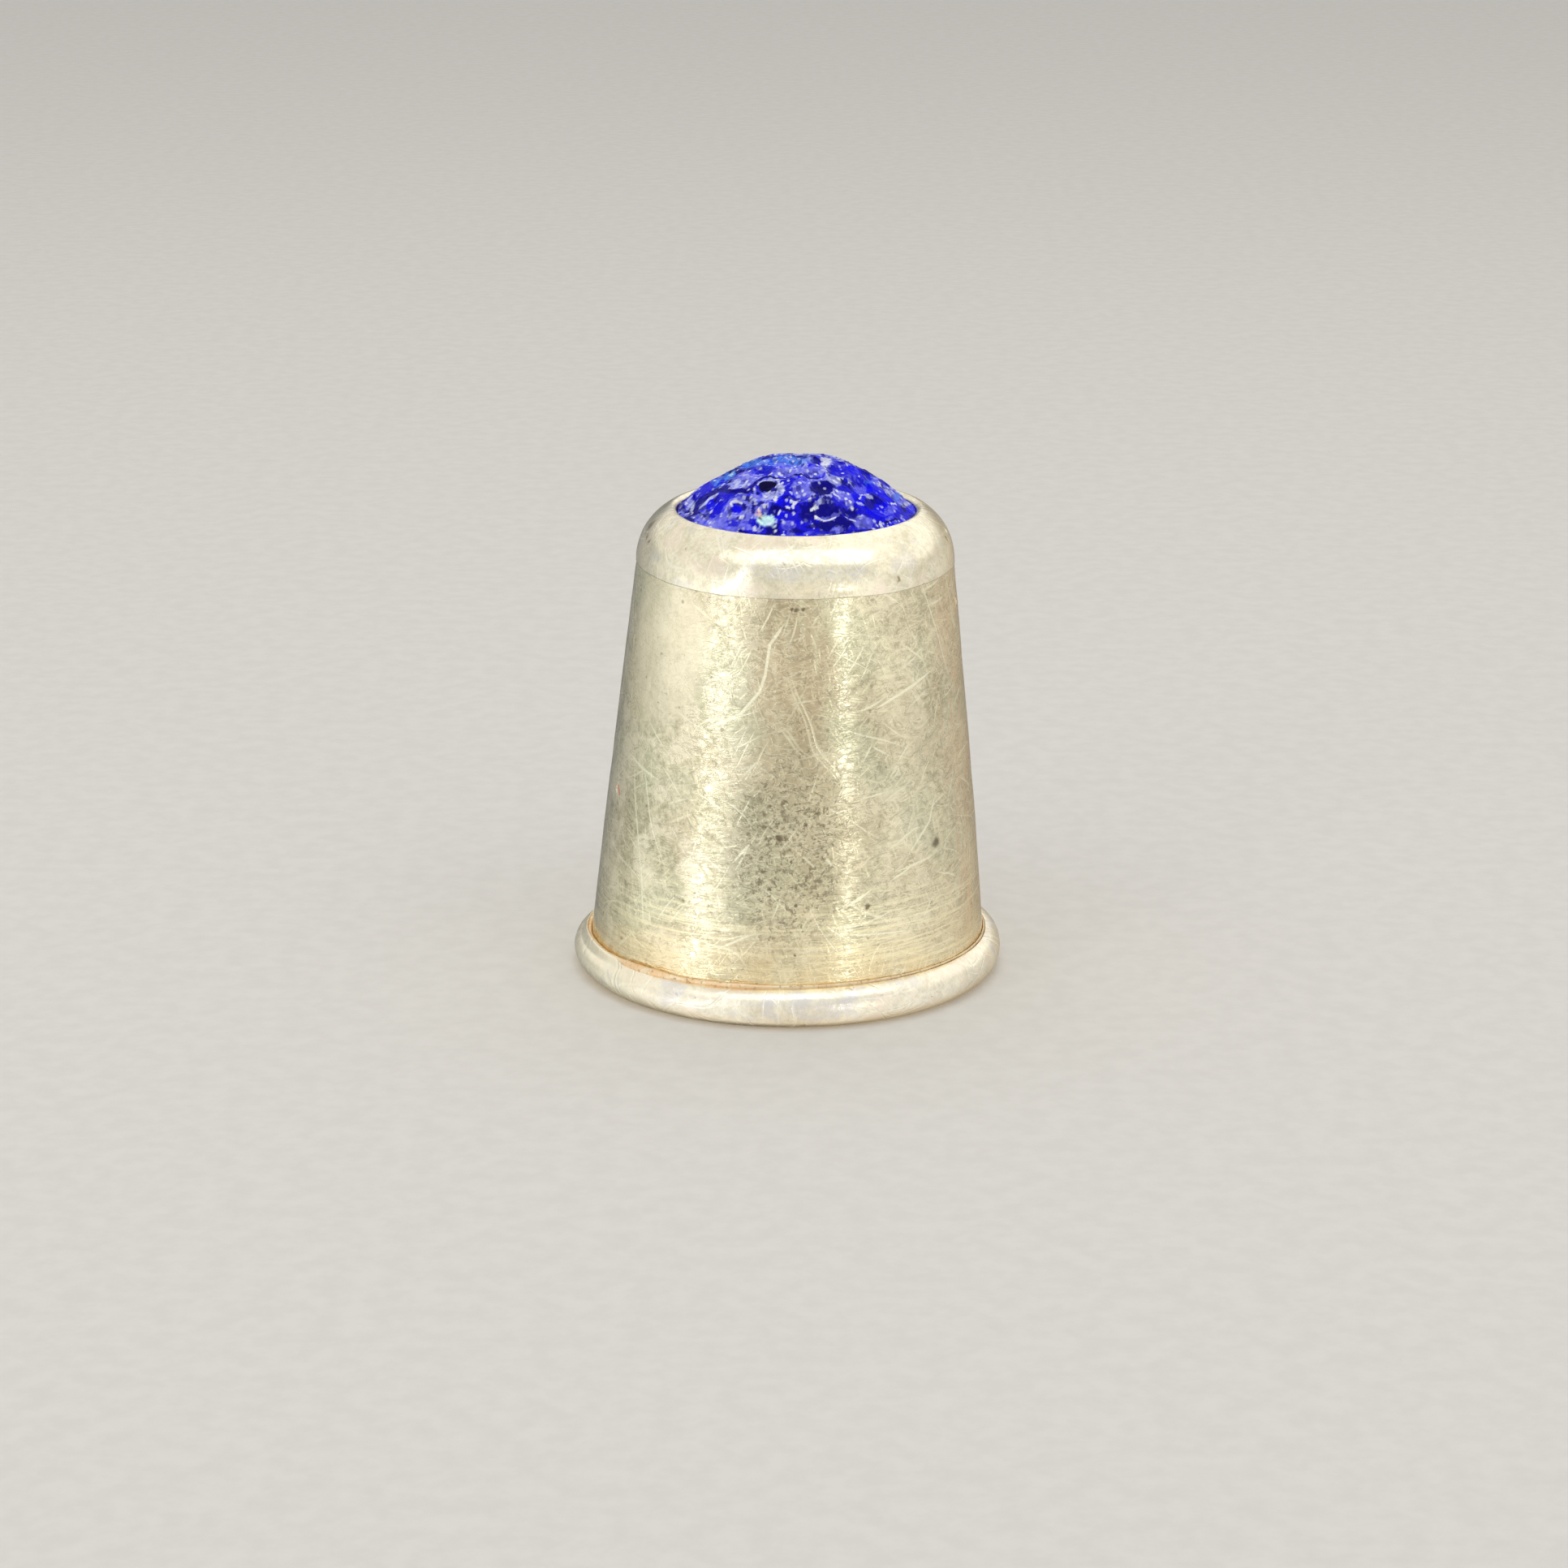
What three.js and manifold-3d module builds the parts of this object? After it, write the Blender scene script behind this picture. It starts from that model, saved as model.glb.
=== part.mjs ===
// Stone-top sewing thimble, built as the separate pieces that are soldered and cemented together.
// Millimetres, +Z up, front towards -Y. The origin is the centre of the foot plane, on the
// axis of the cone. From the foot up: cone wall, rounded rim ring with its solder seam,
// bezel collar, back plate, cement bed, foil and the dimpled glass cap.
import * as THREE from "three";
import { mergeVertices } from "three/addons/utils/BufferGeometryUtils.js";
import Module from "manifold-3d";

const wasm = await Module();
wasm.setup();

const GAP = 0.03; // solder and cement clearance between neighbours

// Cone wall; its radii are outside radii
const WALL_T = 0.45;
const WALL_FOOT_R = 8.57; // at the foot plane, inside the ring
const WALL_LOW_R = 8.48; // where the cone leaves the ring
const WALL_LOW_Z = 1.65;
const WALL_TOP_R = 6.72; // under the collar
const WALL_TOP_Z = 18;
const WALL_BELLY = 0.03; // how far the cone's side swells out between its ends
const WALL_STEPS = 5;

// Rim ring, of oval section
const RIM_R = 9.3; // outside radius
const RIM_HALF_W = 0.73;
const RIM_HALF_H = 0.84;
const RIM_Z = 0.8; // height of the section's centre; less than its half height, so the foot is flat
const RIM_STEPS = 10;

// Solder seam: [out, up] from its lower inner corner
const SEAM = [[0, 0], [0.2, -0.01], [0.11, 0.06], [0.02, 0.2], [-0.02, 0.2]];

// Bezel collar
const LIP_R = 5.05; // opening in the lip
const LIP_UNDER_Z = 19.8; // underside of the lip, at the pocket
const LIP_UNDER_RISE = 0.12; // how far that underside rises towards the opening
const POCKET_R = 5.42; // pocket that holds the glass
const LEDGE_R = 4.75; // opening under the back plate
const LEDGE_Z = 18.35; // top of the ledge that carries the back plate
const LEDGE_T = 0.35; // thickness of the ledge at its opening
const LEDGE_ROOT_T = 0.75; // and where it meets the spigot
const SPIGOT_Z = 17.2; // foot of the spigot, inside the cone
const SPIGOT_T = 0.35;
// Outside of the collar as [radius, height]: step over the cone, rounded shoulder, rolled lip
const COLLAR = [
  [6.75, WALL_TOP_Z + GAP], [6.74, 18.18], [6.71, 18.43], [6.65, 18.7], [6.555, 18.97],
  [6.425, 19.23], [6.263, 19.47], [6.069, 19.7], [5.849, 19.9], [5.62, 20.07],
  [5.42, 20.18], [5.27, 20.21], [5.13, 20.16], [LIP_R, 20.04],
];

// Glass cap and the discs stacked under it
const GLASS_R = POCKET_R - 2 * GAP; // girdle of the glass, under the lip
const GLASS_CHAMFER = 0.08;
const PLATE_T = 0.35;
const CEMENT_R = GLASS_R - 0.1;
const CEMENT_T = 0.3;
const FOIL_R = GLASS_R - 0.06;
const FOIL_T = 0.08;
const PLATE_Z = LEDGE_Z + GAP; // undersides of the stacked pieces
const CEMENT_Z = PLATE_Z + PLATE_T + GAP;
const FOIL_Z = CEMENT_Z + CEMENT_T + GAP;
const GLASS_Z = FOIL_Z + FOIL_T + GAP;
const NECK_Z = LIP_UNDER_Z + 0.1; // where the glass has narrowed to the dome's radius
const DOME_R = 4.98; // edge of the dome, where it comes out of the lip
const DOME_Z = 20.05; // height of that edge
const TOP_Z = 22.4; // overall height
const DOME_RISE = TOP_Z - DOME_Z;
const DOME_POWER = 2.3; // 2 is a parabola; more is flatter on top
const DOME_STEPS = 9;

const DIMPLE_DEPTH = 0.15;
const DIMPLE_R = 0.5;
// Plan radius of each ring of dimples, how many it holds, and its start from the front in spacings
const DIMPLE_RINGS = [
  [0, 1, 0],
  [1.05, 5, 0],
  [2.05, 10, 0.5],
  [3.05, 12, 0],
  [4.15, 16, 0.5],
];

const TURNED_SEGMENTS = 72;
const BALL_SEGMENTS = [16, 12]; // round the ball's poles, and from pole to pole
const WELD_DISTANCE = 1e-4;

// Materials
const standard = (color, roughness, metalness) =>
  new THREE.MeshStandardMaterial({ color, roughness, metalness });
const silver = () => standard(0xc9c2a8, 0.38, 1);
const solder = () => standard(0xc79a58, 0.55, 0.8);
const cement = () => standard(0x8d8474, 0.9, 0);
const foil = () => standard(0xbfc4d8, 0.25, 1);
const glass = () => standard(0x1310b8, 0.12, 0);

// A solid of revolution about +Z from [radius, height] pairs listed counter-clockwise:
// outwards along the bottom, up the outside and inwards along the top.
// The profile must close on its first point, or start and end on the axis.
function turned(profile) {
  const points = profile.map(([r, z]) => new THREE.Vector2(r, z));
  const geometry = new THREE.LatheGeometry(points, TURNED_SEGMENTS);
  geometry.rotateX(Math.PI / 2); // the lathe turns about +Y
  return geometry;
}

const turnedRing = (profile) => turned([...profile, profile[0]]);

function turnedDisc(radius, bottom, thickness) {
  const top = bottom + thickness;
  return turned([[0, bottom], [radius, bottom], [radius, top], [0, top]]);
}

// Converts a closed geometry to a Manifold solid. Normals and uvs go first, because
// they would keep the vertices along a seam from being welded.
function toSolid(geometry) {
  geometry.deleteAttribute("normal");
  geometry.deleteAttribute("uv");
  const welded = mergeVertices(geometry, WELD_DISTANCE);
  return new wasm.Manifold(
    new wasm.Mesh({
      numProp: 3,
      vertProperties: new Float32Array(welded.attributes.position.array),
      triVerts: new Uint32Array(welded.index.array),
    }),
  );
}

function fromSolid(solid) {
  const { vertProperties, triVerts } = solid.getMesh();
  const geometry = new THREE.BufferGeometry();
  const positions = new Float32Array(vertProperties);
  geometry.setAttribute("position", new THREE.BufferAttribute(positions, 3));
  geometry.setIndex(new THREE.BufferAttribute(new Uint32Array(triVerts), 1));
  geometry.computeVertexNormals();
  return geometry;
}

// Outside radius of the cone at a height, with its slight belly.
function coneRadius(z) {
  const t = (z - WALL_LOW_Z) / (WALL_TOP_Z - WALL_LOW_Z);
  return WALL_LOW_R + (WALL_TOP_R - WALL_LOW_R) * t + WALL_BELLY * 4 * t * (1 - t);
}

// Drawn silver, open at the foot and at the top.
function coneWall() {
  const outside = [];
  for (let i = 0; i <= WALL_STEPS; i++) {
    const z = WALL_LOW_Z + ((WALL_TOP_Z - WALL_LOW_Z) * i) / WALL_STEPS;
    outside.push([coneRadius(z), z]);
  }
  const inside = outside.map(([r, z]) => [r - WALL_T, z]).reverse();
  return turnedRing([[WALL_FOOT_R - WALL_T, 0], [WALL_FOOT_R, 0], ...outside, ...inside]);
}

// Oval wire round the foot, cut flat underneath and by the wall on its inner side.
function rimRing() {
  const inner = WALL_FOOT_R + GAP;
  const centre = RIM_R - RIM_HALF_W;
  const low = -Math.asin(RIM_Z / RIM_HALF_H);
  const high = Math.acos((inner - centre) / RIM_HALF_W);
  const profile = [[inner, 0]];
  for (let i = 0; i <= RIM_STEPS; i++) {
    const angle = low + ((high - low) * i) / RIM_STEPS;
    profile.push([
      centre + RIM_HALF_W * Math.cos(angle),
      RIM_Z + RIM_HALF_H * Math.sin(angle),
    ]);
  }
  return turnedRing(profile);
}

// Small fillet in the corner between the ring and the cone.
function solderSeam() {
  const seamZ = RIM_Z + RIM_HALF_H + GAP;
  const seamR = coneRadius(seamZ + 0.04) + 2 * GAP;
  return turnedRing(SEAM.map(([out, up]) => [seamR + out, seamZ + up]));
}

// Rounded shoulder, lip over the glass, pocket, ledge and spigot.
function bezelCollar() {
  const spigotOuter = WALL_TOP_R - WALL_T - GAP;
  const spigotInner = spigotOuter - SPIGOT_T;
  return turnedRing([
    [spigotInner, SPIGOT_Z],
    [spigotOuter, SPIGOT_Z],
    [spigotOuter, WALL_TOP_Z + GAP],
    ...COLLAR,
    [LIP_R, LIP_UNDER_Z + LIP_UNDER_RISE],
    [POCKET_R, LIP_UNDER_Z],
    [POCKET_R, LEDGE_Z],
    [LEDGE_R, LEDGE_Z],
    [LEDGE_R, LEDGE_Z - LEDGE_T],
    [spigotInner, LEDGE_Z - LEDGE_ROOT_T],
  ]);
}

const domeHeight = (r) => TOP_Z - DOME_RISE * (r / DOME_R) ** DOME_POWER;
const domeSlope = (r) =>
  (-DOME_RISE * DOME_POWER * (r / DOME_R) ** (DOME_POWER - 1)) / DOME_R;

// Girdle under the lip, and the low dome before its dimples.
function plainCap() {
  const profile = [
    [0, GLASS_Z],
    [GLASS_R - GLASS_CHAMFER, GLASS_Z],
    [GLASS_R, GLASS_Z + GLASS_CHAMFER],
    [GLASS_R, LIP_UNDER_Z - 2 * GAP],
    [DOME_R, NECK_Z],
  ];
  for (let i = 0; i <= DOME_STEPS; i++) {
    const r = DOME_R * (1 - i / DOME_STEPS);
    profile.push([r, domeHeight(r)]);
  }
  return turned(profile);
}

// Each dimple is cut by a ball centred out along the dome's normal.
function glassCap() {
  const ballR = (DIMPLE_R ** 2 + DIMPLE_DEPTH ** 2) / (2 * DIMPLE_DEPTH);
  const lift = ballR - DIMPLE_DEPTH;
  let cap = toSolid(plainCap());
  for (const [radius, count, start] of DIMPLE_RINGS) {
    const slope = domeSlope(radius);
    const length = Math.hypot(1, slope);
    const centreR = radius - (lift * slope) / length;
    const centreZ = domeHeight(radius) + lift / length;
    for (let i = 0; i < count; i++) {
      const angle = ((i + start) / count) * 2 * Math.PI - Math.PI / 2;
      const ball = new THREE.SphereGeometry(ballR, ...BALL_SEGMENTS);
      ball.rotateZ(angle);
      ball.translate(centreR * Math.cos(angle), centreR * Math.sin(angle), centreZ);
      cap = cap.subtract(toSolid(ball));
    }
  }
  return fromSolid(cap);
}

const thimble = new THREE.Group();
function add(name, geometry, material) {
  const mesh = new THREE.Mesh(geometry, material);
  mesh.name = name;
  thimble.add(mesh);
}

add("cone_wall", coneWall(), silver());
add("rim_ring", rimRing(), silver());
add("rim_solder_seam", solderSeam(), solder());
add("bezel_collar", bezelCollar(), silver());
add("back_plate", turnedDisc(GLASS_R, PLATE_Z, PLATE_T), silver());
add("cement_bed", turnedDisc(CEMENT_R, CEMENT_Z, CEMENT_T), cement());
add("foil_backing", turnedDisc(FOIL_R, FOIL_Z, FOIL_T), foil());
add("glass_cap", glassCap(), glass());

export default thimble;
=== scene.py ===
"""The looks of a stone-top thimble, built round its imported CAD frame.

The thimble stands on its open foot with its axis on Z and its front to -Y. Lengths are millimetres
until a mesh is written, where they become metres. A "turn" is an angle as a share of a full circle,
counted from +X, so the left is at 0.5 and the front at 0.75.
"""
import functools
import math
import operator

import bpy
import numpy as np
from mathutils import Matrix, Vector


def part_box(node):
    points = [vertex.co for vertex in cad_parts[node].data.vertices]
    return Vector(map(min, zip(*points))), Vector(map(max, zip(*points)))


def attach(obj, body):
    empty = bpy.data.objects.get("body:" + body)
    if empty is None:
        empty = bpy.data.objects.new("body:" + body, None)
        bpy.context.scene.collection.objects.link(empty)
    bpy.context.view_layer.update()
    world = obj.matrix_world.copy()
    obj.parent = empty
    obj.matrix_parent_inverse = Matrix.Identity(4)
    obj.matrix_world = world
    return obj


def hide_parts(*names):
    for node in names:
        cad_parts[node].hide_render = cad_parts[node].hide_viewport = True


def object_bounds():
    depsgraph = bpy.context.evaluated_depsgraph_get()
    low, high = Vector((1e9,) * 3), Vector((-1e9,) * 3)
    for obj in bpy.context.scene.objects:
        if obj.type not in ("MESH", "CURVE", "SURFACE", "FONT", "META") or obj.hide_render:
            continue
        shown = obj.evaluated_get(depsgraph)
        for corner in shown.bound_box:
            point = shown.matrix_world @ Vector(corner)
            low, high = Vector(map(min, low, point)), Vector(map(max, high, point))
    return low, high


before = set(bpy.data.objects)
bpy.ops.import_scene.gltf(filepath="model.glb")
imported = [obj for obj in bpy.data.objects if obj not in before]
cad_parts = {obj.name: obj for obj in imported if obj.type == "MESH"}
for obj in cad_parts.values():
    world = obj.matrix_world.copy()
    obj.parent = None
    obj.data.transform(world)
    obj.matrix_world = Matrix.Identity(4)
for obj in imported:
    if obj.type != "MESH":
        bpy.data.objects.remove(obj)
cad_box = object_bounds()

MM = 0.001
TAU = 2 * math.pi


# ---------------------------------------------------------------- sizes read from the CAD frame
def span(node):
    low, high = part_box(node)
    return low / MM, high / MM


_, wall_high = span("cone_wall")
rim_low, rim_high = span("rim_ring")
collar_low, collar_high = span("bezel_collar")
plate_low, plate_high = span("back_plate")
cement_low, cement_high = span("cement_bed")
foil_low, foil_high = span("foil_backing")
glass_low, glass_high = span("glass_cap")

FOOT_R = wall_high.x            # wall at the foot, inside the rim
WALL_TOP = wall_high.z
WALL_THICK = 0.45
WALL_MEAN_R = 7.7               # radius at which the wall is unrolled
RIM_R = (rim_high.x - rim_low.x) / 2
RIM_TOP = rim_high.z
COLLAR_R = (collar_high.x - collar_low.x) / 2
COLLAR_TOP = collar_high.z
GLASS_R = (glass_high.x - glass_low.x) / 2
GLASS_TOP = cad_box[1].z / MM + 0.012
GLASS_EDGE_R, GLASS_EDGE_Z = 5.04, 20.03   # where the dome meets the collar
# The cone of the wall: radius and height at its low end, radius at its top, bulge at half height
LOW_R, LOW_Z, TOP_R, BELLY = FOOT_R - 0.07, 1.5, FOOT_R - 1.85, 0.04
LEAN = 0.015                    # the worn body leans to +X, mm per mm of height


def cone_radius(z):
    part = (z - LOW_Z) / (WALL_TOP - LOW_Z)
    return LOW_R + (TOP_R - LOW_R) * part + BELLY * 4 * part * (1 - part)


def rim_swell(turn):
    """Height of the rim against the plain one: tallest at the front, lowest on the left."""
    return 0.82 + 0.12 * np.cos(turn * TAU) + 0.18 * np.maximum(-np.sin(turn * TAU), 0) ** 1.5


# ---------------------------------------------------------------- smooth random fields
def spline_weights(part):
    return ((1 - part) ** 3 / 6, (3 * part ** 3 - 6 * part ** 2 + 4) / 6,
            (-3 * part ** 3 + 3 * part ** 2 + 3 * part + 1) / 6, part ** 3 / 6)


def spline_surface(lattice, across, up):
    """A smooth surface through a wrapping lattice of knots, at places counted in knots."""
    rows, columns = lattice.shape
    column, row = np.floor(across).astype(int), np.floor(up).astype(int)
    across_weights, up_weights = spline_weights(across - column), spline_weights(up - row)
    total = np.zeros(np.broadcast(across, up).shape)
    for i in range(4):
        for j in range(4):
            knot = lattice[(row + j - 1) % rows, (column + i - 1) % columns]
            total += across_weights[i] * up_weights[j] * knot
    return total


def ring_noise(turn, height, knots, spacing, seed):
    """Smooth noise round a turned surface: so many knots round it, and one every spacing mm up."""
    up = height / spacing + 40
    rows = int(np.max(up)) + 6
    lattice = np.random.default_rng(seed).normal(size=(rows, knots))
    return spline_surface(lattice, np.mod(turn, 1.0) * knots, up)


def ring_relief(turn, height, layers):
    """Sum of ring noises, each (amplitude, knots round, spacing in mm, seed)."""
    return sum(amplitude * ring_noise(turn, height, *noise) for amplitude, *noise in layers)


def flat_noise(x, y, spacing, seed):
    """Smooth noise over a plane, one knot every spacing mm."""
    lattice = np.random.default_rng(seed).normal(size=(160, 160))
    return spline_surface(lattice, x / spacing + 60, y / spacing + 60)


def ease(x, start, end):
    """Smooth step from 0 at start to 1 at end."""
    part = np.clip((x - start) / (end - start), 0, 1)
    return part * part * (3 - 2 * part)


def turns_from(turn, centre):
    """Signed distance from centre, -0.5..0.5 of a turn."""
    return np.mod(turn - centre + 0.5, 1.0) - 0.5


def bell(turn, height, radius, centre, centre_z, half_width, half_height):
    """A soft bump of height 1 at one place of a turned surface of about this radius."""
    across = turns_from(turn, centre) * TAU * radius
    return np.exp(-(across / half_width) ** 2 - ((height - centre_z) / half_height) ** 2)


def carve_dings(surface, turn, height, radius, rng, count, heights, widths, tallness, depths):
    """Press shallow random dings into a surface. The last four are ranges to draw from."""
    for _ in range(count):
        place = rng.random(), rng.uniform(*heights)
        size = rng.uniform(*widths), rng.uniform(*tallness)
        surface = surface - rng.uniform(*depths) * bell(turn, height, radius, *place, *size)
    return surface


# ---------------------------------------------------------------- meshes from grids
def write_mesh(name, points, quads, tris=None, paint=None, slots=None):
    """A smooth-shaded object, with an optional colour per point and material slot per face."""
    mesh = bpy.data.meshes.new(name)
    mesh.vertices.add(len(points))
    mesh.vertices.foreach_set("co", (np.asarray(points) * MM).astype(np.float32).ravel())
    corners = np.asarray(quads, np.int32).ravel()
    starts = np.arange(len(quads), dtype=np.int32) * 4
    if tris is not None:
        tri_starts = len(corners) + np.arange(len(tris), dtype=np.int32) * 3
        starts = np.concatenate([starts, tri_starts])
        corners = np.concatenate([corners, np.asarray(tris, np.int32).ravel()])
    mesh.loops.add(len(corners))
    mesh.loops.foreach_set("vertex_index", corners)
    mesh.polygons.add(len(starts))
    mesh.polygons.foreach_set("loop_start", starts)
    mesh.update(calc_edges=True)
    mesh.validate()
    mesh.polygons.foreach_set("use_smooth", np.full(len(starts), True))
    if paint is not None:
        opaque = np.ones((len(points), 1), np.float32)
        colours = np.concatenate([np.asarray(paint, np.float32), opaque], 1)
        attribute = mesh.attributes.new("paint", "FLOAT_COLOR", "POINT")
        attribute.data.foreach_set("color", colours.ravel())
    if slots is not None:
        mesh.polygons.foreach_set("material_index", np.asarray(slots, np.int32))
    mesh.update()
    piece = bpy.data.objects.new(name, mesh)
    bpy.context.scene.collection.objects.link(piece)
    return piece


def ring_quads(rows, columns, closed):
    """Quads of a grid that wraps round its columns, and over its rows too if closed. Faces point
    outwards when the rows run out along the bottom, up the outside and in along the top."""
    row = np.arange(rows if closed else rows - 1)[:, None]
    column = np.arange(columns)[None]
    beside = (column + 1) % columns
    here, above = row * columns, (row + 1) % rows * columns
    corners = [here + column, here + beside, above + beside, above + column]
    return np.stack(corners, -1).reshape(-1, 4)


def turned(name, radius, height, turn, closed=True, lean=LEAN, paint=None, slots=None):
    """A turned piece from grids of radius and height over rows and angles."""
    rows, columns = radius.shape
    angle = turn * TAU
    height = np.broadcast_to(height, radius.shape)
    points = np.stack([radius * np.cos(angle), radius * np.sin(angle), height], -1).reshape(-1, 3)
    tris = None
    if not closed:  # both ends close on one point on the axis
        ends = points[:columns].mean(0), points[-columns:].mean(0)
        for end in ends:
            end[:2] = 0
        points = np.concatenate([points, ends])
        column = np.arange(columns)
        beside = (column + 1) % columns
        last_row = (rows - 1) * columns
        hub = np.full(columns, rows * columns)
        tris = np.concatenate([np.stack([hub, beside, column], -1),
                               np.stack([hub + 1, last_row + column, last_row + beside], -1)])
        if paint is not None:
            paint = np.concatenate([paint.reshape(-1, 3), paint[:1].mean(1), paint[-1:].mean(1)])
    points[:, 0] += lean * np.maximum(points[:, 2] - LOW_Z, 0)
    return write_mesh(name, points, ring_quads(rows, columns, closed), tris, paint, slots)


def resample(profile, count):
    """count points spread evenly along a polyline of [radius, height]."""
    points = np.asarray(profile, float)
    lengths = np.concatenate([[0], np.cumsum(np.hypot(*np.diff(points, axis=0).T))])
    places = np.linspace(0, lengths[-1], count)
    return np.stack([np.interp(places, lengths, points[:, axis]) for axis in (0, 1)], -1)


def soften(profile, passes):
    """Chaikin corner cutting, which keeps the ends."""
    points = np.asarray(profile, float)
    for _ in range(passes):
        cut = [points[0]]
        for start, end in zip(points[:-1], points[1:]):
            cut += [start * 0.75 + end * 0.25, start * 0.25 + end * 0.75]
        points = np.array(cut + [points[-1]])
    return points


def turns_row(count):
    return (np.arange(count) / count)[None, :]


def sweep(profile, columns):
    """Grids of radius and height from a profile of [radius, height]."""
    return np.repeat(profile[:, :1], columns, 1), np.repeat(profile[:, 1:], columns, 1)


# ---------------------------------------------------------------- shader nodes by arithmetic
class Field:
    """The output of a shader node. Arithmetic on it adds Math nodes, or Vector Math nodes where it
    is a vector or a colour. a | b is the larger of two numbers."""

    def __init__(self, socket):
        self.socket = socket

    def pair(self, operation, other):
        kind = math_node if self.socket.type == "VALUE" else vector_math
        return kind(operation, self, other)

    def __add__(self, other):
        return self.pair("ADD", other)

    def __sub__(self, other):
        return self.pair("SUBTRACT", other)

    def __mul__(self, other):
        return self.pair("MULTIPLY", other)

    def __truediv__(self, other):
        return self.pair("DIVIDE", other)

    def __or__(self, other):
        return self.pair("MAXIMUM", other)

    def __lt__(self, other):
        return self.pair("LESS_THAN", other)

    def __gt__(self, other):
        return self.pair("GREATER_THAN", other)

    def __radd__(self, other):
        return math_node("ADD", other, self)

    def __rsub__(self, other):
        return math_node("SUBTRACT", other, self)

    def __rmul__(self, other):
        return math_node("MULTIPLY", other, self)

    def __abs__(self):
        return math_node("ABSOLUTE", self, 0.0)

    def scaled(self, factor):
        return vector_math("SCALE", self, scale=factor)

    def length(self):
        return vector_math("LENGTH", self)

    def ramp(self, over, to=(0.0, 1.0), smooth=True):
        """Map the range over on to the range to, held at both ends."""
        kind = "SMOOTHSTEP" if smooth else "LINEAR"
        values = dict(enumerate((self, *over, *to)))
        return Field(make("ShaderNodeMapRange", values, interpolation_type=kind).outputs[0])

    def noise(self, scale, detail=2.0, roughness=0.5, distortion=0.0):
        node = make("ShaderNodeTexNoise", {
            "Vector": self, "Scale": scale, "Detail": detail, "Roughness": roughness,
            "Distortion": distortion})
        return Field(node.outputs["Fac"])

    def cells(self, scale, dimensions="3D"):
        """Distance to the nearest cell centre, and the random colour of the cell."""
        node = make("ShaderNodeTexVoronoi", {"Vector": self, "Scale": scale},
                    voronoi_dimensions=dimensions)
        return Field(node.outputs["Distance"]), Field(node.outputs["Color"])

    def spun(self, degrees):
        """This vector turned about Z."""
        node = make("ShaderNodeVectorRotate", {"Vector": self, "Angle": math.radians(degrees)},
                    rotation_type="Z_AXIS")
        return Field(node.outputs[0])


def add_node(tree, kind, **settings):
    node = tree.nodes.new(kind)
    for key, value in settings.items():
        setattr(node, key, value)
    return node


def set_inputs(node, inputs):
    for key, value in inputs.items():
        socket = node.inputs[key]
        if isinstance(value, Field):
            node.id_data.links.new(value.socket, socket)
        else:
            socket.default_value = (*value, 1.0) if socket.type == "RGBA" else value


def make(kind, inputs, **settings):
    """A node in the tree of the fields it takes."""
    tree = next(v.socket.id_data for v in inputs.values() if isinstance(v, Field))
    node = add_node(tree, kind, **settings)
    set_inputs(node, inputs)
    return node


def source(tree, kind, output, **settings):
    """An output of a node that takes no input."""
    return Field(add_node(tree, kind, **settings).outputs[output])


def math_node(operation, *values, clamp=False):
    node = make("ShaderNodeMath", dict(enumerate(values)), operation=operation, use_clamp=clamp)
    return Field(node.outputs[0])


def clamped_sum(first, second):
    return math_node("ADD", first, second, clamp=True)


def vector_math(operation, *values, scale=None):
    inputs = dict(enumerate(values))
    if scale is not None:
        inputs[3] = scale
    node = make("ShaderNodeVectorMath", inputs, operation=operation)
    return Field(node.outputs[operation in ("LENGTH", "DISTANCE", "DOT_PRODUCT")])


def mix(first, second, amount, blend="MIX"):
    node = make("ShaderNodeMix", {0: amount, 6: first, 7: second},
                data_type="RGBA", blend_type=blend)
    return Field(node.outputs[2])


def split(vector):
    return [Field(out) for out in make("ShaderNodeSeparateXYZ", {0: vector}).outputs]


def split_colour(colour):
    return [Field(out) for out in make("ShaderNodeSeparateColor", {0: colour}).outputs]


def join(x, y, z):
    return Field(make("ShaderNodeCombineXYZ", {0: x, 1: y, 2: z}).outputs[0])


def bump(height, depth):
    """A normal from a height of 0..1, depth mm deep."""
    return Field(make("ShaderNodeBump", {"Distance": depth * MM, "Height": height}).outputs[0])


def noise_colour(noise):
    return Field(noise.socket.node.outputs["Color"])


def new_material(name):
    """A material, its Principled node, and the object position in mm."""
    material = bpy.data.materials.new(name)
    material.use_nodes = True
    tree = material.node_tree
    tree.nodes.clear()
    output = add_node(tree, "ShaderNodeOutputMaterial")
    surface = add_node(tree, "ShaderNodeBsdfPrincipled")
    tree.links.new(surface.outputs[0], output.inputs[0])
    return material, surface, source(tree, "ShaderNodeTexCoord", "Object").scaled(1000.0)


# ---------------------------------------------------------------- marks on the silver
MIDDLE = (0.5, 0.5, 0.5)   # of a noise colour


def strongest(masks):
    return functools.reduce(operator.or_, masks)


def unrolled(position):
    """x is mm round the wall from the front (-Y), positive to the right, and y is height."""
    x, y, z = split(position)
    return join(math_node("ARCTAN2", x, y * -1.0) * WALL_MEAN_R, z, 0.0)


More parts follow.
